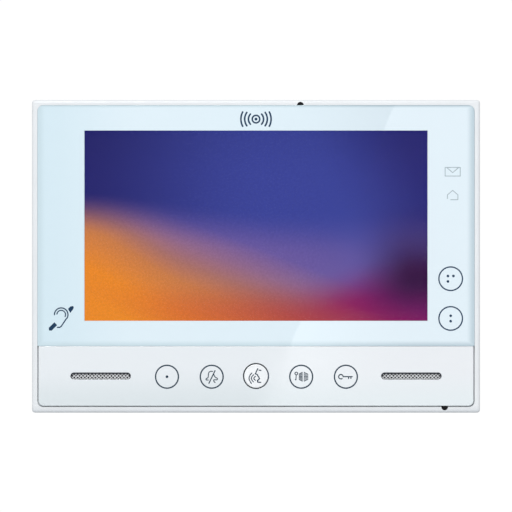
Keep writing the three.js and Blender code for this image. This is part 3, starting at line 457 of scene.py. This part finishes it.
def case_plastic():
    """White moulding with a fine texture, greyed along its lower rim by painted shade."""
    nodes = Nodes("case plastic", (0.765, 0.79, 0.812), 0.34)
    # Painted shade: below 67 mm down, the white greys towards the case's lower edge.
    lower = nodes.span(nodes.axes()[2], -67.0 * MM, CAD_BOX[0].z)
    field_with_painted_shade = nodes.mix(nodes.math("MULTIPLY", lower, 0.5), (0.775, 0.80, 0.822), (0.56, 0.60, 0.64))
    cloud = nodes.span(nodes.noise(14), 0.3, 0.7, 0.988, 1.012)
    nodes.base(nodes.mix(1.0, field_with_painted_shade, cloud, "MULTIPLY"))
    nodes.rough(0.30, 0.38, 6)
    nodes.bump(nodes.noise(0.3, 3), 0.35, 0.008)
    return nodes.material


def fascia_plastic():
    """Polished white moulding, greyed by painted shade towards its lower edge and its right end.
    """
    nodes = Nodes("fascia plastic", (0.78, 0.82, 0.86), 0.09)
    x, _, z = nodes.axes()
    # Painted shade: greyer towards the lower edge and towards the right end of the panel.
    shade = nodes.span(z, FASCIA.bottom * MM, (KEY_Y + 5) * MM)
    upper = nodes.mix(nodes.span(x, 0.0, 70 * MM), (0.80, 0.838, 0.868), (0.75, 0.775, 0.805))
    nodes.base(nodes.mix(shade, (0.715, 0.775, 0.80), upper))
    nodes.rough(0.04, 0.06, 20)
    nodes.bump(nodes.noise(9, 2), 0.04, 0.004)
    return nodes.material


def key_plastic():
    """Polished cap of the talk button: the panel's white painted lighter, a painted highlight for
    the raised cap.
    """
    # Painted highlight: a lighter copy of the fascia's white.
    white = (0.86, 0.885, 0.905)
    nodes = Nodes("key plastic", white, 0.12)
    nodes.base(nodes.tinted(white, 5, 0.01))
    nodes.rough(0.10, 0.15, 4)
    nodes.bump(nodes.noise(3, 2), 0.1, 0.004)
    return nodes.material


def talk_skirt():
    """Blue-grey lacquer round the talk button: partly the cap's own dark skirt and partly painted
    shade for the gap round it, paler towards its lower right as a painted highlight.
    """
    dark, pale = (0.02, 0.04, 0.062), (0.13, 0.17, 0.28)
    nodes = Nodes("blue-grey skirt", dark, 0.5)
    x, _, z = nodes.axes()
    # Painted highlight: paler towards the lower right, where light catches the ring.
    fall = 0.45
    towards = nodes.math("SUBTRACT", x, nodes.math("MULTIPLY", z, fall))
    start = TALK.x - fall * TALK.y
    nodes.base(nodes.mix(nodes.span(towards, (start + 1) * MM, (start + 6) * MM), dark, pale))
    nodes.bump(nodes.noise(0.25, 3), 0.35, 0.01)
    return nodes.material


def white_backed_glass():
    """Glass with an ice-white print behind it: deeper blue towards its ground edge, partly the
    glass's own edge tint and partly painted shade, and greyer at its left end and right part by
    painted shade.
    """
    nodes = Nodes("white-backed glass", (0.70, 0.82, 0.89), 0.02)
    x, _, z = nodes.axes()
    sides = nodes.math("SUBTRACT", GLASS.width / 2 * MM, nodes.math("ABSOLUTE", x))
    above = nodes.math("MULTIPLY", nodes.math("SUBTRACT", GLASS.top * MM, z), 3.0)
    below = nodes.math("MULTIPLY", nodes.math("SUBTRACT", z, GLASS.bottom * MM), 1.3)
    edge = nodes.math("MINIMUM", sides, nodes.math("MINIMUM", above, below))
    # Painted shade: the print greys towards the left end and towards the right part of the sheet.
    across = nodes.span(x, -98 * MM, -50 * MM)
    field_with_painted_shade = nodes.mix(across, (0.66, 0.803, 0.875), (0.737, 0.852, 0.916))
    field_with_painted_shade = nodes.mix(nodes.span(x, 5 * MM, 75 * MM), field_with_painted_shade, (0.683, 0.785, 0.847))
    # Edge band: partly the glass's own deeper tint, partly painted shade, darkest at the right.
    shallow = nodes.span(edge, 0.0, 3.8 * MM)
    rim = nodes.mix(nodes.span(x, 0.0, 80 * MM), (0.58, 0.715, 0.775), (0.43, 0.545, 0.61))
    nodes.base(nodes.mix(shallow, rim, field_with_painted_shade))
    nodes.rough(0.004, 0.008, 30)
    return nodes.material


def clear_window():
    """The unprinted part of the glass, with an anti-glare coat."""
    nodes = Nodes("clear window", (0.02, 0.02, 0.03), 0.03, Alpha=0.05, Specular_IOR_Level=0.15)
    nodes.rough(0.02, 0.04, 25)
    return nodes.material


def screen_picture():
    """Display surface with a lit abstract picture: a warm glow under a deep blue sky."""
    nodes = Nodes("screen picture", (0.003, 0.003, 0.004), 0.4, Specular_IOR_Level=0.02)
    x, _, z = nodes.axes()
    half_width, half_height = SCREEN[0] / 2 * MM, SCREEN[1] / 2 * MM
    middle = SCREEN_Y * MM
    u = nodes.span(x, -half_width, half_width, smooth=False)
    v = nodes.span(z, middle - half_height, middle + half_height, smooth=False)

    # The glow cools along a slant that runs down to the right.
    slant = nodes.math("ADD", v, nodes.math("MULTIPLY", u, 0.7))
    slant = nodes.math("SUBTRACT", slant, nodes.span(u, 0.3, 0.0, 0.0, 0.09))
    low = ramp(
        nodes,
        slant,
        (0.04, (0.85, 0.262, 0.022)),  # amber
        (0.24, (0.70, 0.163, 0.033)),
        (0.45, (0.445, 0.068, 0.064)),  # rust
        (0.64, (0.255, 0.013, 0.113)),
        (0.75, (0.195, 0.009, 0.137)),  # violet
    )
    high = ramp(
        nodes,
        slant,
        (0.2, (0.84, 0.255, 0.022)),  # amber
        (0.4, (0.60, 0.208, 0.068)),
        (0.5, (0.41, 0.166, 0.138)),  # dusk
        (0.61, (0.285, 0.14, 0.262)),
        (0.74, (0.148, 0.102, 0.352)),  # lilac
        (1.0, (0.09, 0.082, 0.348)),
    )
    climb = nodes.math("SUBTRACT", v, nodes.span(u, 0.6, 0.9, -0.02, 0.10))
    glow = nodes.mix(nodes.span(climb, 0.02, 0.25), low, high)

    navy, right_navy, blue = (0.019, 0.018, 0.15), (0.021, 0.020, 0.175), (0.044, 0.058, 0.32)
    edge = nodes.mix(nodes.span(u, 0.3, 0.7), navy, right_navy)
    tilt = nodes.math("ADD", u, nodes.math("MULTIPLY", v, 0.25))
    lit = nodes.math("MULTIPLY", nodes.span(u, -0.05, 0.55), nodes.span(tilt, 1.21, 0.87))
    sky = nodes.mix(lit, edge, blue)
    sky = nodes.mix(1.0, sky, nodes.span(v, 1.05, 0.75, 0.90, 1.0), "MULTIPLY")

    fade = nodes.math("ADD", v, nodes.span(u, 0.0, 0.35, 0.0, 0.05))
    fade = nodes.math("ADD", fade, nodes.span(u, 0.2, 0.6, 0.0, 0.05))
    picture = nodes.mix(nodes.span(fade, 0.44, 0.68), glow, sky)
    shadow = nodes.math("MULTIPLY", nodes.span(v, -0.05, 0.22), nodes.span(v, 0.66, 0.22))
    shadow = nodes.math("MULTIPLY", shadow, nodes.span(u, 0.77, 0.96))
    picture = nodes.mix(shadow, picture, (0.036, 0.004, 0.052))
    grain = nodes.span(nodes.noise(0.9, 1), 0.3, 0.7, 0.95, 1.05)
    picture = nodes.mix(1.0, picture, grain, "MULTIPLY")
    nodes.feed(nodes.shader.inputs["Emission Color"], picture)
    nodes.shader.inputs["Emission Strength"].default_value = 1.05
    return nodes.material


def ramp(nodes, value, *stops):
    """Colour that goes through (position, colour) stops."""
    node = nodes.tree.nodes.new("ShaderNodeValToRGB")
    elements = node.color_ramp.elements
    while len(elements) < len(stops):
        elements.new(0.5)
    for element, (position, color) in zip(elements, stops):
        element.position = position
        element.color = (*color, 1)
    nodes.feed(node.inputs["Fac"], value)
    return node.outputs["Color"]


def ink(name, color):
    """Screen-printed ink, slightly uneven."""
    nodes = Nodes(name, color, 0.35, Specular_IOR_Level=0.2)
    nodes.base(nodes.tinted(color, 0.6, 0.12, 3))
    nodes.bump(nodes.noise(0.2, 2), 0.2, 0.004)
    return nodes.material


def circuit_board():
    """Solder resist over copper tracks."""
    nodes = Nodes("circuit board", (0.015, 0.11, 0.05), 0.35)
    brick = nodes.tree.nodes.new("ShaderNodeTexBrick")
    brick.inputs["Scale"].default_value = 120
    brick.inputs["Color1"].default_value = (0.012, 0.095, 0.04, 1)
    brick.inputs["Color2"].default_value = (0.02, 0.14, 0.06, 1)
    brick.inputs["Mortar"].default_value = (0.035, 0.2, 0.09, 1)
    brick.inputs["Mortar Size"].default_value = 0.04
    nodes.feed(brick.inputs["Vector"], nodes.place)
    nodes.base(nodes.mix(nodes.noise(3), brick.outputs["Color"], (0.015, 0.11, 0.05)))
    nodes.bump(nodes.noise(0.8, 2), 0.3, 0.03)
    return nodes.material


CASE = case_plastic()
FASCIA_WHITE = fascia_plastic()
KEY_PAINTED_LIGHT = key_plastic()
GLASS_WHITE = white_backed_glass()
CLEAR = clear_window()
PICTURE = screen_picture()
KEY_INK = ink("grey-blue ink", (0.02, 0.044, 0.072))
GLASS_INK = ink("deep blue ink", (0.005, 0.036, 0.09))
STATUS_INK = ink("pale grey ink", (0.30, 0.38, 0.42))
TALK_RING_PAINTED_SHADE_AND_LIGHT = talk_skirt()
RUBBER = moulded(
    "black rubber", (0.004, 0.004, 0.005), 0.75, grain=0.25, depth=0.02, Specular_IOR_Level=0.2
)
FOAM = moulded("dark foam", (0.02, 0.02, 0.021), 0.95, grain=0.5, depth=0.15)
TAPE = moulded("adhesive tape", (0.03, 0.03, 0.033), 0.8, grain=0.4, depth=0.03)
GRILLE = moulded("lacquered mesh", (0.80, 0.81, 0.83), 0.35, grain=0.15, depth=0.004)
# Painted shadow: the dark ring that draws the shade along the top of each speaker slot.
PAINTED_SLOT_SHADOW = moulded("painted slot shadow", (0.03, 0.033, 0.045), 0.8, grain=0.25, depth=0.02)
BRIGHT = sheet_metal("bright sheet", (0.62, 0.64, 0.66), 0.28, stretch=(0.06, 1, 1))
ZINC = sheet_metal(
    "zinc-plated sheet", (0.50, 0.525, 0.54), 0.36, stretch=(0.15, 1, 1), depth=0.01
)
SCREW_STEEL = sheet_metal("screw steel", (0.42, 0.43, 0.45), 0.3, grain=0.2)
COPPER = sheet_metal(
    "enamelled copper", (0.72, 0.27, 0.12), 0.32, stretch=(1, 1, 0.05), depth=0.03
)
DIFFUSER = moulded("diffuser", (0.78, 0.80, 0.81), 0.3, Subsurface_Weight=0.1)
BLACK = moulded("black moulding", (0.018, 0.019, 0.02), 0.42, grain=0.3, depth=0.015)
GREEN = moulded("terminal green", (0.035, 0.235, 0.07), 0.4, mottle=0.04)
BLUE = moulded("switch blue", (0.02, 0.085, 0.30), 0.36, mottle=0.04)
AMBER_FILM = moulded("amber film", (0.55, 0.24, 0.03), 0.25, mottle=0.06, depth=0.004)
CONE = moulded("speaker cone", (0.018, 0.018, 0.019), 0.9, grain=0.25, depth=0.05)
BOARD = circuit_board()

BY_SLOT = {
    "bracket": ZINC,
    "case": CASE,
    "fascia": FASCIA_WHITE,
    "glass": GLASS_WHITE,
    "tape": TAPE,
    "rubber": RUBBER,
    "foam": FOAM,
    "grille": GRILLE,
    "steel": BRIGHT,
    "screw": SCREW_STEEL,
    "copper": COPPER,
    "screen": PICTURE,
    "diffuser": DIFFUSER,
    "board": BOARD,
    "component": BLACK,
    "terminal": GREEN,
    "dip": BLUE,
    "ribbon": AMBER_FILM,
    "cone": CONE,
}

# ---------------------------------------------------------------- CAD nodes that stay


def dress_cad_nodes():
    """Gives each CAD node the material of its slot, and smooth round faces."""
    slots = {s["node"]: s["material_slot"] for s in frame["record"]["subparts"]}
    for name, obj in frame["nodes"].items():
        for material_slot in obj.material_slots:
            material_slot.material = BY_SLOT[slots[name]]
        soften(obj)


# ---------------------------------------------------------------- front pieces


def glass_sheet():
    """One sheet: a printed border round a clear window over the display."""

    def outline(inset):
        return sheet_outline(GLASS, inset, SEAM_CORNER, CORNER + GLASS_REACH, GLASS_REACH)

    bm = bmesh.new()
    rings = [ring_of(bm, outline(0), GLASS.back)]
    for inset, drop in round_over(GLASS_EDGE):
        rings.append(ring_of(bm, outline(inset), GLASS.front - drop))
    walls(bm, rings)
    for ring, z in ((rings[0], GLASS.back), (rings[-1], GLASS.front)):
        window = ring_of(bm, rounded(*WINDOW, WINDOW_CORNER, 0, SCREEN_Y, 2), z)
        cap(bm, [ring, window])
        cap(bm, [window], material=1)
    piece("glass_sheet", bm, "monitor", [GLASS_WHITE, CLEAR], ["display_glass"])


def fascia_panel():
    """White panel with a round hole for the talk button and two slots for the speakers."""

    def outline(inset):
        return sheet_outline(FASCIA, inset, CORNER, SEAM_CORNER)

    def talk_hole(inset):
        return circle(TALK_HOLE - inset, TALK.x, TALK.y)

    def slot_hole(x):
        def hole(inset):
            width, height = SLOT[0] - 2 * inset, SLOT[1] - 2 * inset
            return rounded(width, height, height / 2 - 0.01, x, FASCIA.y)

        return hole

    holes = [talk_hole, *[slot_hole(mesh.x) for mesh in MESHES.values()]]
    bm = panel(outline, holes, FASCIA_BACK, FASCIA.front, FASCIA_EDGE, FASCIA_EDGE)
    piece("fascia_panel", bm, "monitor", [FASCIA_WHITE], ["control_fascia"])


def talk_cap():
    """Round button with a soft shoulder, a shallow dish and a hidden flange."""
    front = TALK.front
    shoulder = [
        (TALK_RADIUS - inset, front - drop) for inset, drop in round_over(TALK_SHOULDER, 6)
    ]
    dish = [
        (TALK_RADIUS * share, front - TALK_DISH * (1 - share**2))
        for share in (0.85, 0.7, 0.5, 0.3, 0.1)
    ]
    flange = TALK.width / 2
    flange_front = FASCIA_BACK - 0.25
    flange_back = flange_front - 0.5
    skirt = [
        (STEM_RADIUS, TALK.back),
        (STEM_RADIUS, flange_back),
        (flange - 0.1, flange_back),
        (flange, flange_back + 0.1),
        (flange, flange_front),
        (TALK_RADIUS, flange_front),
        (TALK_RADIUS, front - 0.75),
    ]
    bm = bmesh.new()
    turned(bm, [*skirt, *shoulder, *dish], TALK.x, TALK.y, second=len(skirt) - 1)
    piece("talk_cap", bm, "talk_key", [KEY_PAINTED_LIGHT, TALK_RING_PAINTED_SHADE_AND_LIGHT], ["talk_button"])


def speaker_grille(side):
    """Expanded-metal mesh: a lattice of strands inside a plain rim."""
    plate = MESHES[side]
    inner_width, inner_height = plate.width - 2 * MESH_RIM, plate.height - 2 * MESH_RIM
    columns = int(inner_width / MESH_PITCH) + 1
    rows = int(inner_height / MESH_PITCH * 2) + 1
    middle = (plate.back + plate.front) / 2
    reach = MESH_PITCH / 2
    bm = bmesh.new()
    for row in range(-(rows // 2), rows // 2 + 1):
        shift = reach if row % 2 else 0.0
        for column in range(-(columns // 2), columns // 2 + 1):
            x = plate.x + column * MESH_PITCH + shift
            y = plate.y + row * reach
            corners = ((x + reach, y), (x, y + reach), (x - reach, y), (x, y - reach))
            bm.faces.new([bm.verts.new(point(cx, cy, middle)) for cx, cy in corners])
    bmesh.ops.remove_doubles(bm, verts=bm.verts, dist=0.01 * MM)
    bmesh.ops.wireframe(
        bm,
        faces=bm.faces[:],
        thickness=MESH_STRAND * MM,
        use_even_offset=True,
        use_replace=True,
        use_boundary=True,
    )
    outer = rounded(plate.width, plate.height, 1.5, plate.x, plate.y)
    inner = rounded(inner_width, inner_height, 0.7, plate.x, plate.y)
    frame_round(bm, outer, inner, plate.back, plate.front)
    name = f"speaker_grille_{side}"
    piece(name, bm, "monitor", [GRILLE], [f"speaker_mesh_{side}"])


def grille_painted_shadow(side):
    """Painted shadow: a dark ring inside a speaker slot, seen as a dark line along its upper edge
    where the slot's shade falls.
    """
    mesh = MESHES[side]
    width, height = SLOT[0] - 0.04, SLOT[1] - 0.04
    outer = rounded(width, height, height / 2 - 0.01, mesh.x, FASCIA.y)
    inner = rounded(width - 0.8, height - 0.62, height / 2 - 0.35, mesh.x, FASCIA.y - 0.24)
    bm = bmesh.new()
    frame_round(bm, outer, inner, mesh.front + 0.02, mesh.front + 0.5)
    piece(f"grille_painted_shadow_{side}", bm, "monitor", [PAINTED_SLOT_SHADOW])


# ---------------------------------------------------------------- printed marks


def key_marks():
    """The rings and symbols of the fascia's touch keys."""
    z = FASCIA.front
    line = 0.5
    bell_left = [(0.45, 2.4), (-0.55, 2.4), (-1.4, 1.7), (-1.5, 0.65), (-1.7, -0.4)]
    bell_left += [(-2.45, -0.9), (-2.5, -1.4), (-1.5, -1.5)]
    bell_right = [(0.9, 1.0), (1.6, -0.2), (2.45, -0.7), (2.4, -1.35), (1.0, -1.45)]
    bell_right += [(1.0, -2.1), (1.5, -2.6)]
    symbols = {
        "camera": (-2, [circle(0.62, sides=32)]),
        "bell": (
            -1,
            [
                *stroke(smooth_line(bell_left), line * 0.85),
                *stroke(smooth_line(bell_right), line * 0.85),
                *stroke([(1.5, 2.75), (-1.25, -2.95)], line),
            ],
        ),
        "gate": (1, gate_symbol()),
        "door": (
            2,
            [
                *stroke(arc(-2.25, 0, 1.0, 0, 305, 24), line),
                *stroke([(-1.25, 0.03), (2.85, 0.03)], line),
                *stroke([(1.2, 0), (1.2, -0.85)], line),
                *stroke([(2.25, 0), (2.25, -0.75)], line),
            ],
        ),
    }
    for name, (place, outlines) in symbols.items():
        x = KEY_X + place * KEY_PITCH
        ring_mark(f"ring_{name}", KEY_RING, KEY_RING_LINE, x, KEY_Y, z, KEY_INK)
        placed = [moved(outline, x, KEY_Y) for outline in outlines]
        printed(f"symbol_{name}", placed, z, "monitor", KEY_INK)


def gate_symbol():
    """A small key beside a pair of barred gate leaves."""
    key = [
        *stroke(circle(0.6, -2.2, 1.45, 20), 0.42, closed=True),
        *stroke([(-2.25, 0.9), (-2.35, -1.3)], 0.42),
        *stroke([(-2.35, -1.0), (-2.65, -1.25), (-2.35, -1.5)], 0.36),
    ]
    leaves = []
    for outer, inner, tall, short in ((-0.9, 0.5, 2.1, 1.35), (3.0, 1.35, 2.1, 1.3)):
        bars = 5
        for k in range(bars):
            share = k / (bars - 1)
            x = outer + (inner - outer) * share
            half = short + (tall - short) * share
            leaves += stroke([(x, -half), (x, half)], 0.24)
        for level in (-0.94, 0.0, 0.94):
            leaves += stroke([(outer, short * level), (inner, tall * level)], 0.24)
    return key + leaves


def talk_mark():
    """A speaking profile with sound waves, on the talk button."""
    line = 0.5
    profile = [(0.8, 3.3), (0.2, 2.1), (-0.3, 1.0), (0.5, 0.75), (1.0, -0.1), (1.6, -1.1)]
    profile += [(1.2, -1.6), (0.65, -2.0), (0.75, -2.7), (2.1, -2.85)]
    waves = [
        [(-1.9, 1.4), (-2.85, 0.1), (-3.1, -0.9), (-2.95, -1.8), (-2.1, -3.35)],
        [(-1.1, 0.6), (-1.9, -0.35), (-2.1, -1.0), (-1.9, -1.7), (-1.2, -2.6)],
        [(-0.3, -0.1), (-1.0, -1.0), (-0.3, -1.9)],
    ]
    outlines = stroke(profile, line) + stroke([(1.4, 2.65), (2.2, 2.55)], line)
    for wave in waves:
        outlines += stroke(smooth_line(wave), line * 0.92)
    placed = [moved(outline, TALK.x, TALK.y) for outline in outlines]
    settle_on_dish(printed("symbol_talk", placed, 0.0, "talk_key", KEY_INK))


def settle_on_dish(mark):
    """Lowers a flat mark onto the dished face of the talk button."""
    for vertex in mark.data.vertices:
        x, y = vertex.co.x / MM - TALK.x, vertex.co.z / MM - TALK.y
        share = math.hypot(x, y) / TALK_RADIUS
        surface = TALK.front - TALK_DISH * (1 - share**2)
        vertex.co.y -= surface * MM


def side_key_marks():
    """Two ringed touch keys on the glass, with three and two dots."""
    z = GLASS.front
    step = 1.23
    dots = (
        ((-step, step), (step, step), (-step, -step)),
        ((0, step), (0, -step)),
    )
    for name, y, places in zip(("upper", "lower"), SIDE_KEYS, dots):
        ring_mark(f"side_ring_{name}", SIDE_RING, SIDE_RING_LINE, SIDE_X, y, z, GLASS_INK)
        outlines = [circle(0.6, SIDE_X + dx, y + dy, 24) for dx, dy in places]
        printed(f"side_dots_{name}", outlines, z, "monitor", GLASS_INK)


def status_marks():
    """Message and home symbols, faint until lit."""
    z = GLASS.front
    line = 0.32
    envelope = [(-3.4, 1.95), (3.4, 1.95), (3.4, -1.95), (-3.4, -1.95)]
    flap = [(-2.7, 1.9), (0, -0.4), (2.7, 1.9)]
    message = stroke(envelope, line, closed=True) + stroke(flap, line)
    placed = [moved(outline, STATUS_X, MESSAGE_Y) for outline in message]
    printed("status_message", placed, z, "monitor", STATUS_INK)
    house = [(-2.35, -1.6), (-2.35, 0.1), (0, 2.1), (2.35, 0.1), (2.35, -2.1), (-0.9, -2.1)]
    placed = [moved(outline, STATUS_X, HOME_Y) for outline in stroke(house, line)]
    printed("status_home", placed, z, "monitor", STATUS_INK)


def hearing_loop_mark():
    """The common sign for a hearing-aid loop: an ear crossed by a bar."""
    outer = [*arc(0.05, 1.6, 3.05, 180, -30, 22), (2.3, -0.3), (0.05, -3.65)]
    outer += [(-0.6, -4.1), (-1.65, -4.1)]
    inner = arc(0.05, 1.6, 1.95, 172, -25, 16)
    wedge = [(3.1, 4.2), (4.25, 5.35), (5.5, 5.5), (5.7, 4.65), (5.2, 3.75), (4.1, 2.4)]
    bar = [(-3.0, -1.8), (-1.8, -3.15), (-4.3, -5.6), (-5.45, -5.5), (-5.55, -4.3)]
    outlines = [*stroke(outer, 0.55), *stroke(inner, 0.5), wedge, bar]
    placed = [moved(outline, *LOOP_SIGN) for outline in outlines]
    printed("hearing_loop_sign", placed, GLASS.front, "monitor", GLASS_INK)


def caller_mark():
    """A plain pictogram above the screen: a lens with sound waves to each side."""
    outlines = stroke(circle(1.7, sides=40), 0.7, closed=True) + [circle(0.65, sides=24)]
    for radius, reach in ((3.4, 42), (5.1, 36), (6.8, 28)):
        for turn in (0, 180):
            outlines += stroke(arc(0, 0, radius, turn - reach, turn + reach, 14), 0.75)
    placed = [moved(outline, *CALLER_SIGN) for outline in outlines]
    printed("caller_sign", placed, GLASS.front, "monitor", GLASS_INK)


# ---------------------------------------------------------------- stage, light and camera


def studio():
    """Soft light from all round, stronger from above, in front of a white background."""
    scene = bpy.context.scene
    scene.view_settings.view_transform = "Standard"
    scene.view_settings.look = "None"
    world = bpy.data.worlds.new("studio")
    scene.world = world
    world.use_nodes = True
    tree = world.node_tree
    light = tree.nodes["Background"]
    light.inputs["Strength"].default_value = 1.0
    place = tree.nodes.new("ShaderNodeTexCoord").outputs["Generated"]
    axes = tree.nodes.new("ShaderNodeSeparateXYZ")
    tree.links.new(place, axes.inputs[0])
    shade = tree.nodes.new("ShaderNodeMapRange")
    shade.inputs["From Min"].default_value, shade.inputs["From Max"].default_value = -0.5, 0.5
    tree.links.new(axes.outputs["Z"], shade.inputs["Value"])
    sky = tree.nodes.new("ShaderNodeMix")
    sky.data_type = "RGBA"
    sky.inputs["A"].default_value = (0.40, 0.41, 0.42, 1)
    sky.inputs["B"].default_value = (0.68, 0.685, 0.69, 1)
    tree.links.new(shade.outputs["Result"], sky.inputs["Factor"])
    tree.links.new(sky.outputs["Result"], light.inputs["Color"])
    seen = tree.nodes.new("ShaderNodeBackground")
    seen.inputs["Color"].default_value = (1, 1, 1, 1)
    seen.inputs["Strength"].default_value = 1.02
    pick = tree.nodes.new("ShaderNodeMixShader")
    rays = tree.nodes.new("ShaderNodeLightPath")
    tree.links.new(rays.outputs["Is Camera Ray"], pick.inputs[0])
    tree.links.new(light.outputs[0], pick.inputs[1])
    tree.links.new(seen.outputs[0], pick.inputs[2])
    tree.links.new(pick.outputs[0], tree.nodes["World Output"].inputs["Surface"])


def area_light(name, place, target, size, power, roll=0.0):
    """A rectangular softbox that the camera doesn't see; roll turns it about its axis."""
    data = bpy.data.lights.new(name, "AREA")
    data.shape = "RECTANGLE"
    data.size, data.size_y = size
    data.energy = power
    light = bpy.data.objects.new(name, data)
    bpy.context.scene.collection.objects.link(light)
    light.location = place
    aim = (Vector(target) - Vector(place)).to_track_quat("-Z", "Y")
    light.rotation_euler = aim.to_euler()
    light.rotation_euler.rotate_axis("Z", math.radians(roll))
    light.visible_camera = False


def floor():
    """A round pale floor under the hanging monitor."""
    level = -320  # mm
    pale = (0.62, 0.63, 0.64)
    bm = bmesh.new()
    rings = []
    for radius, drop in ((350, 0), (800, 0), (1150, 0), (1180, 4), (1180, 20)):
        outline = circle(radius, sides=96)
        rings.append([bm.verts.new((x * MM, y * MM, (level - drop) * MM)) for x, y in outline])
    walls(bm, rings)
    bm.faces.new(rings[0])
    mesh = bpy.data.meshes.new("floor")
    bm.to_mesh(mesh)
    bm.free()
    obj = bpy.data.objects.new("floor", mesh)
    bpy.context.scene.collection.objects.link(obj)
    nodes = Nodes("floor paint", pale, 0.8)
    nodes.base(nodes.tinted(pale, 60, 0.01))
    mesh.materials.append(nodes.material)


def camera():
    """A long lens, square on to the front."""
    data = bpy.data.cameras.new("camera")
    data.lens = 200
    data.sensor_width = 36
    width_seen = 230.6  # mm, at the front of the case
    rise = 0.135  # mm above the middle of the case
    distance = width_seen * MM * data.lens / data.sensor_width
    cam = bpy.data.objects.new("camera", data)
    bpy.context.scene.collection.objects.link(cam)
    low, high = CAD_BOX
    middle = (low + high) / 2
    cam.location = (middle.x, low.y - distance, middle.z + rise * MM)
    cam.rotation_euler = (math.radians(90), 0, 0)
    data.clip_end = 20
    bpy.context.scene.camera = cam


dress_cad_nodes()
glass_sheet()
fascia_panel()
talk_cap()
for side in MESHES:
    speaker_grille(side)
    grille_painted_shadow(side)
key_marks()
talk_mark()
side_key_marks()
status_marks()
hearing_loop_mark()
caller_mark()
studio()
floor()
area_light("key light", place=(-0.3, -1.8, 1.1), target=(0, 0, 0), size=(0.8, 0.5), power=18.8)
area_light(
    "gloss card",  # its slanting left edge draws the step of light across the glass
    place=(0.463, -2.5, -0.16),
    target=(0.463, 0, -0.16),
    size=(0.8, 1.2),
    power=5.9,
    roll=-23.5,
)
camera()
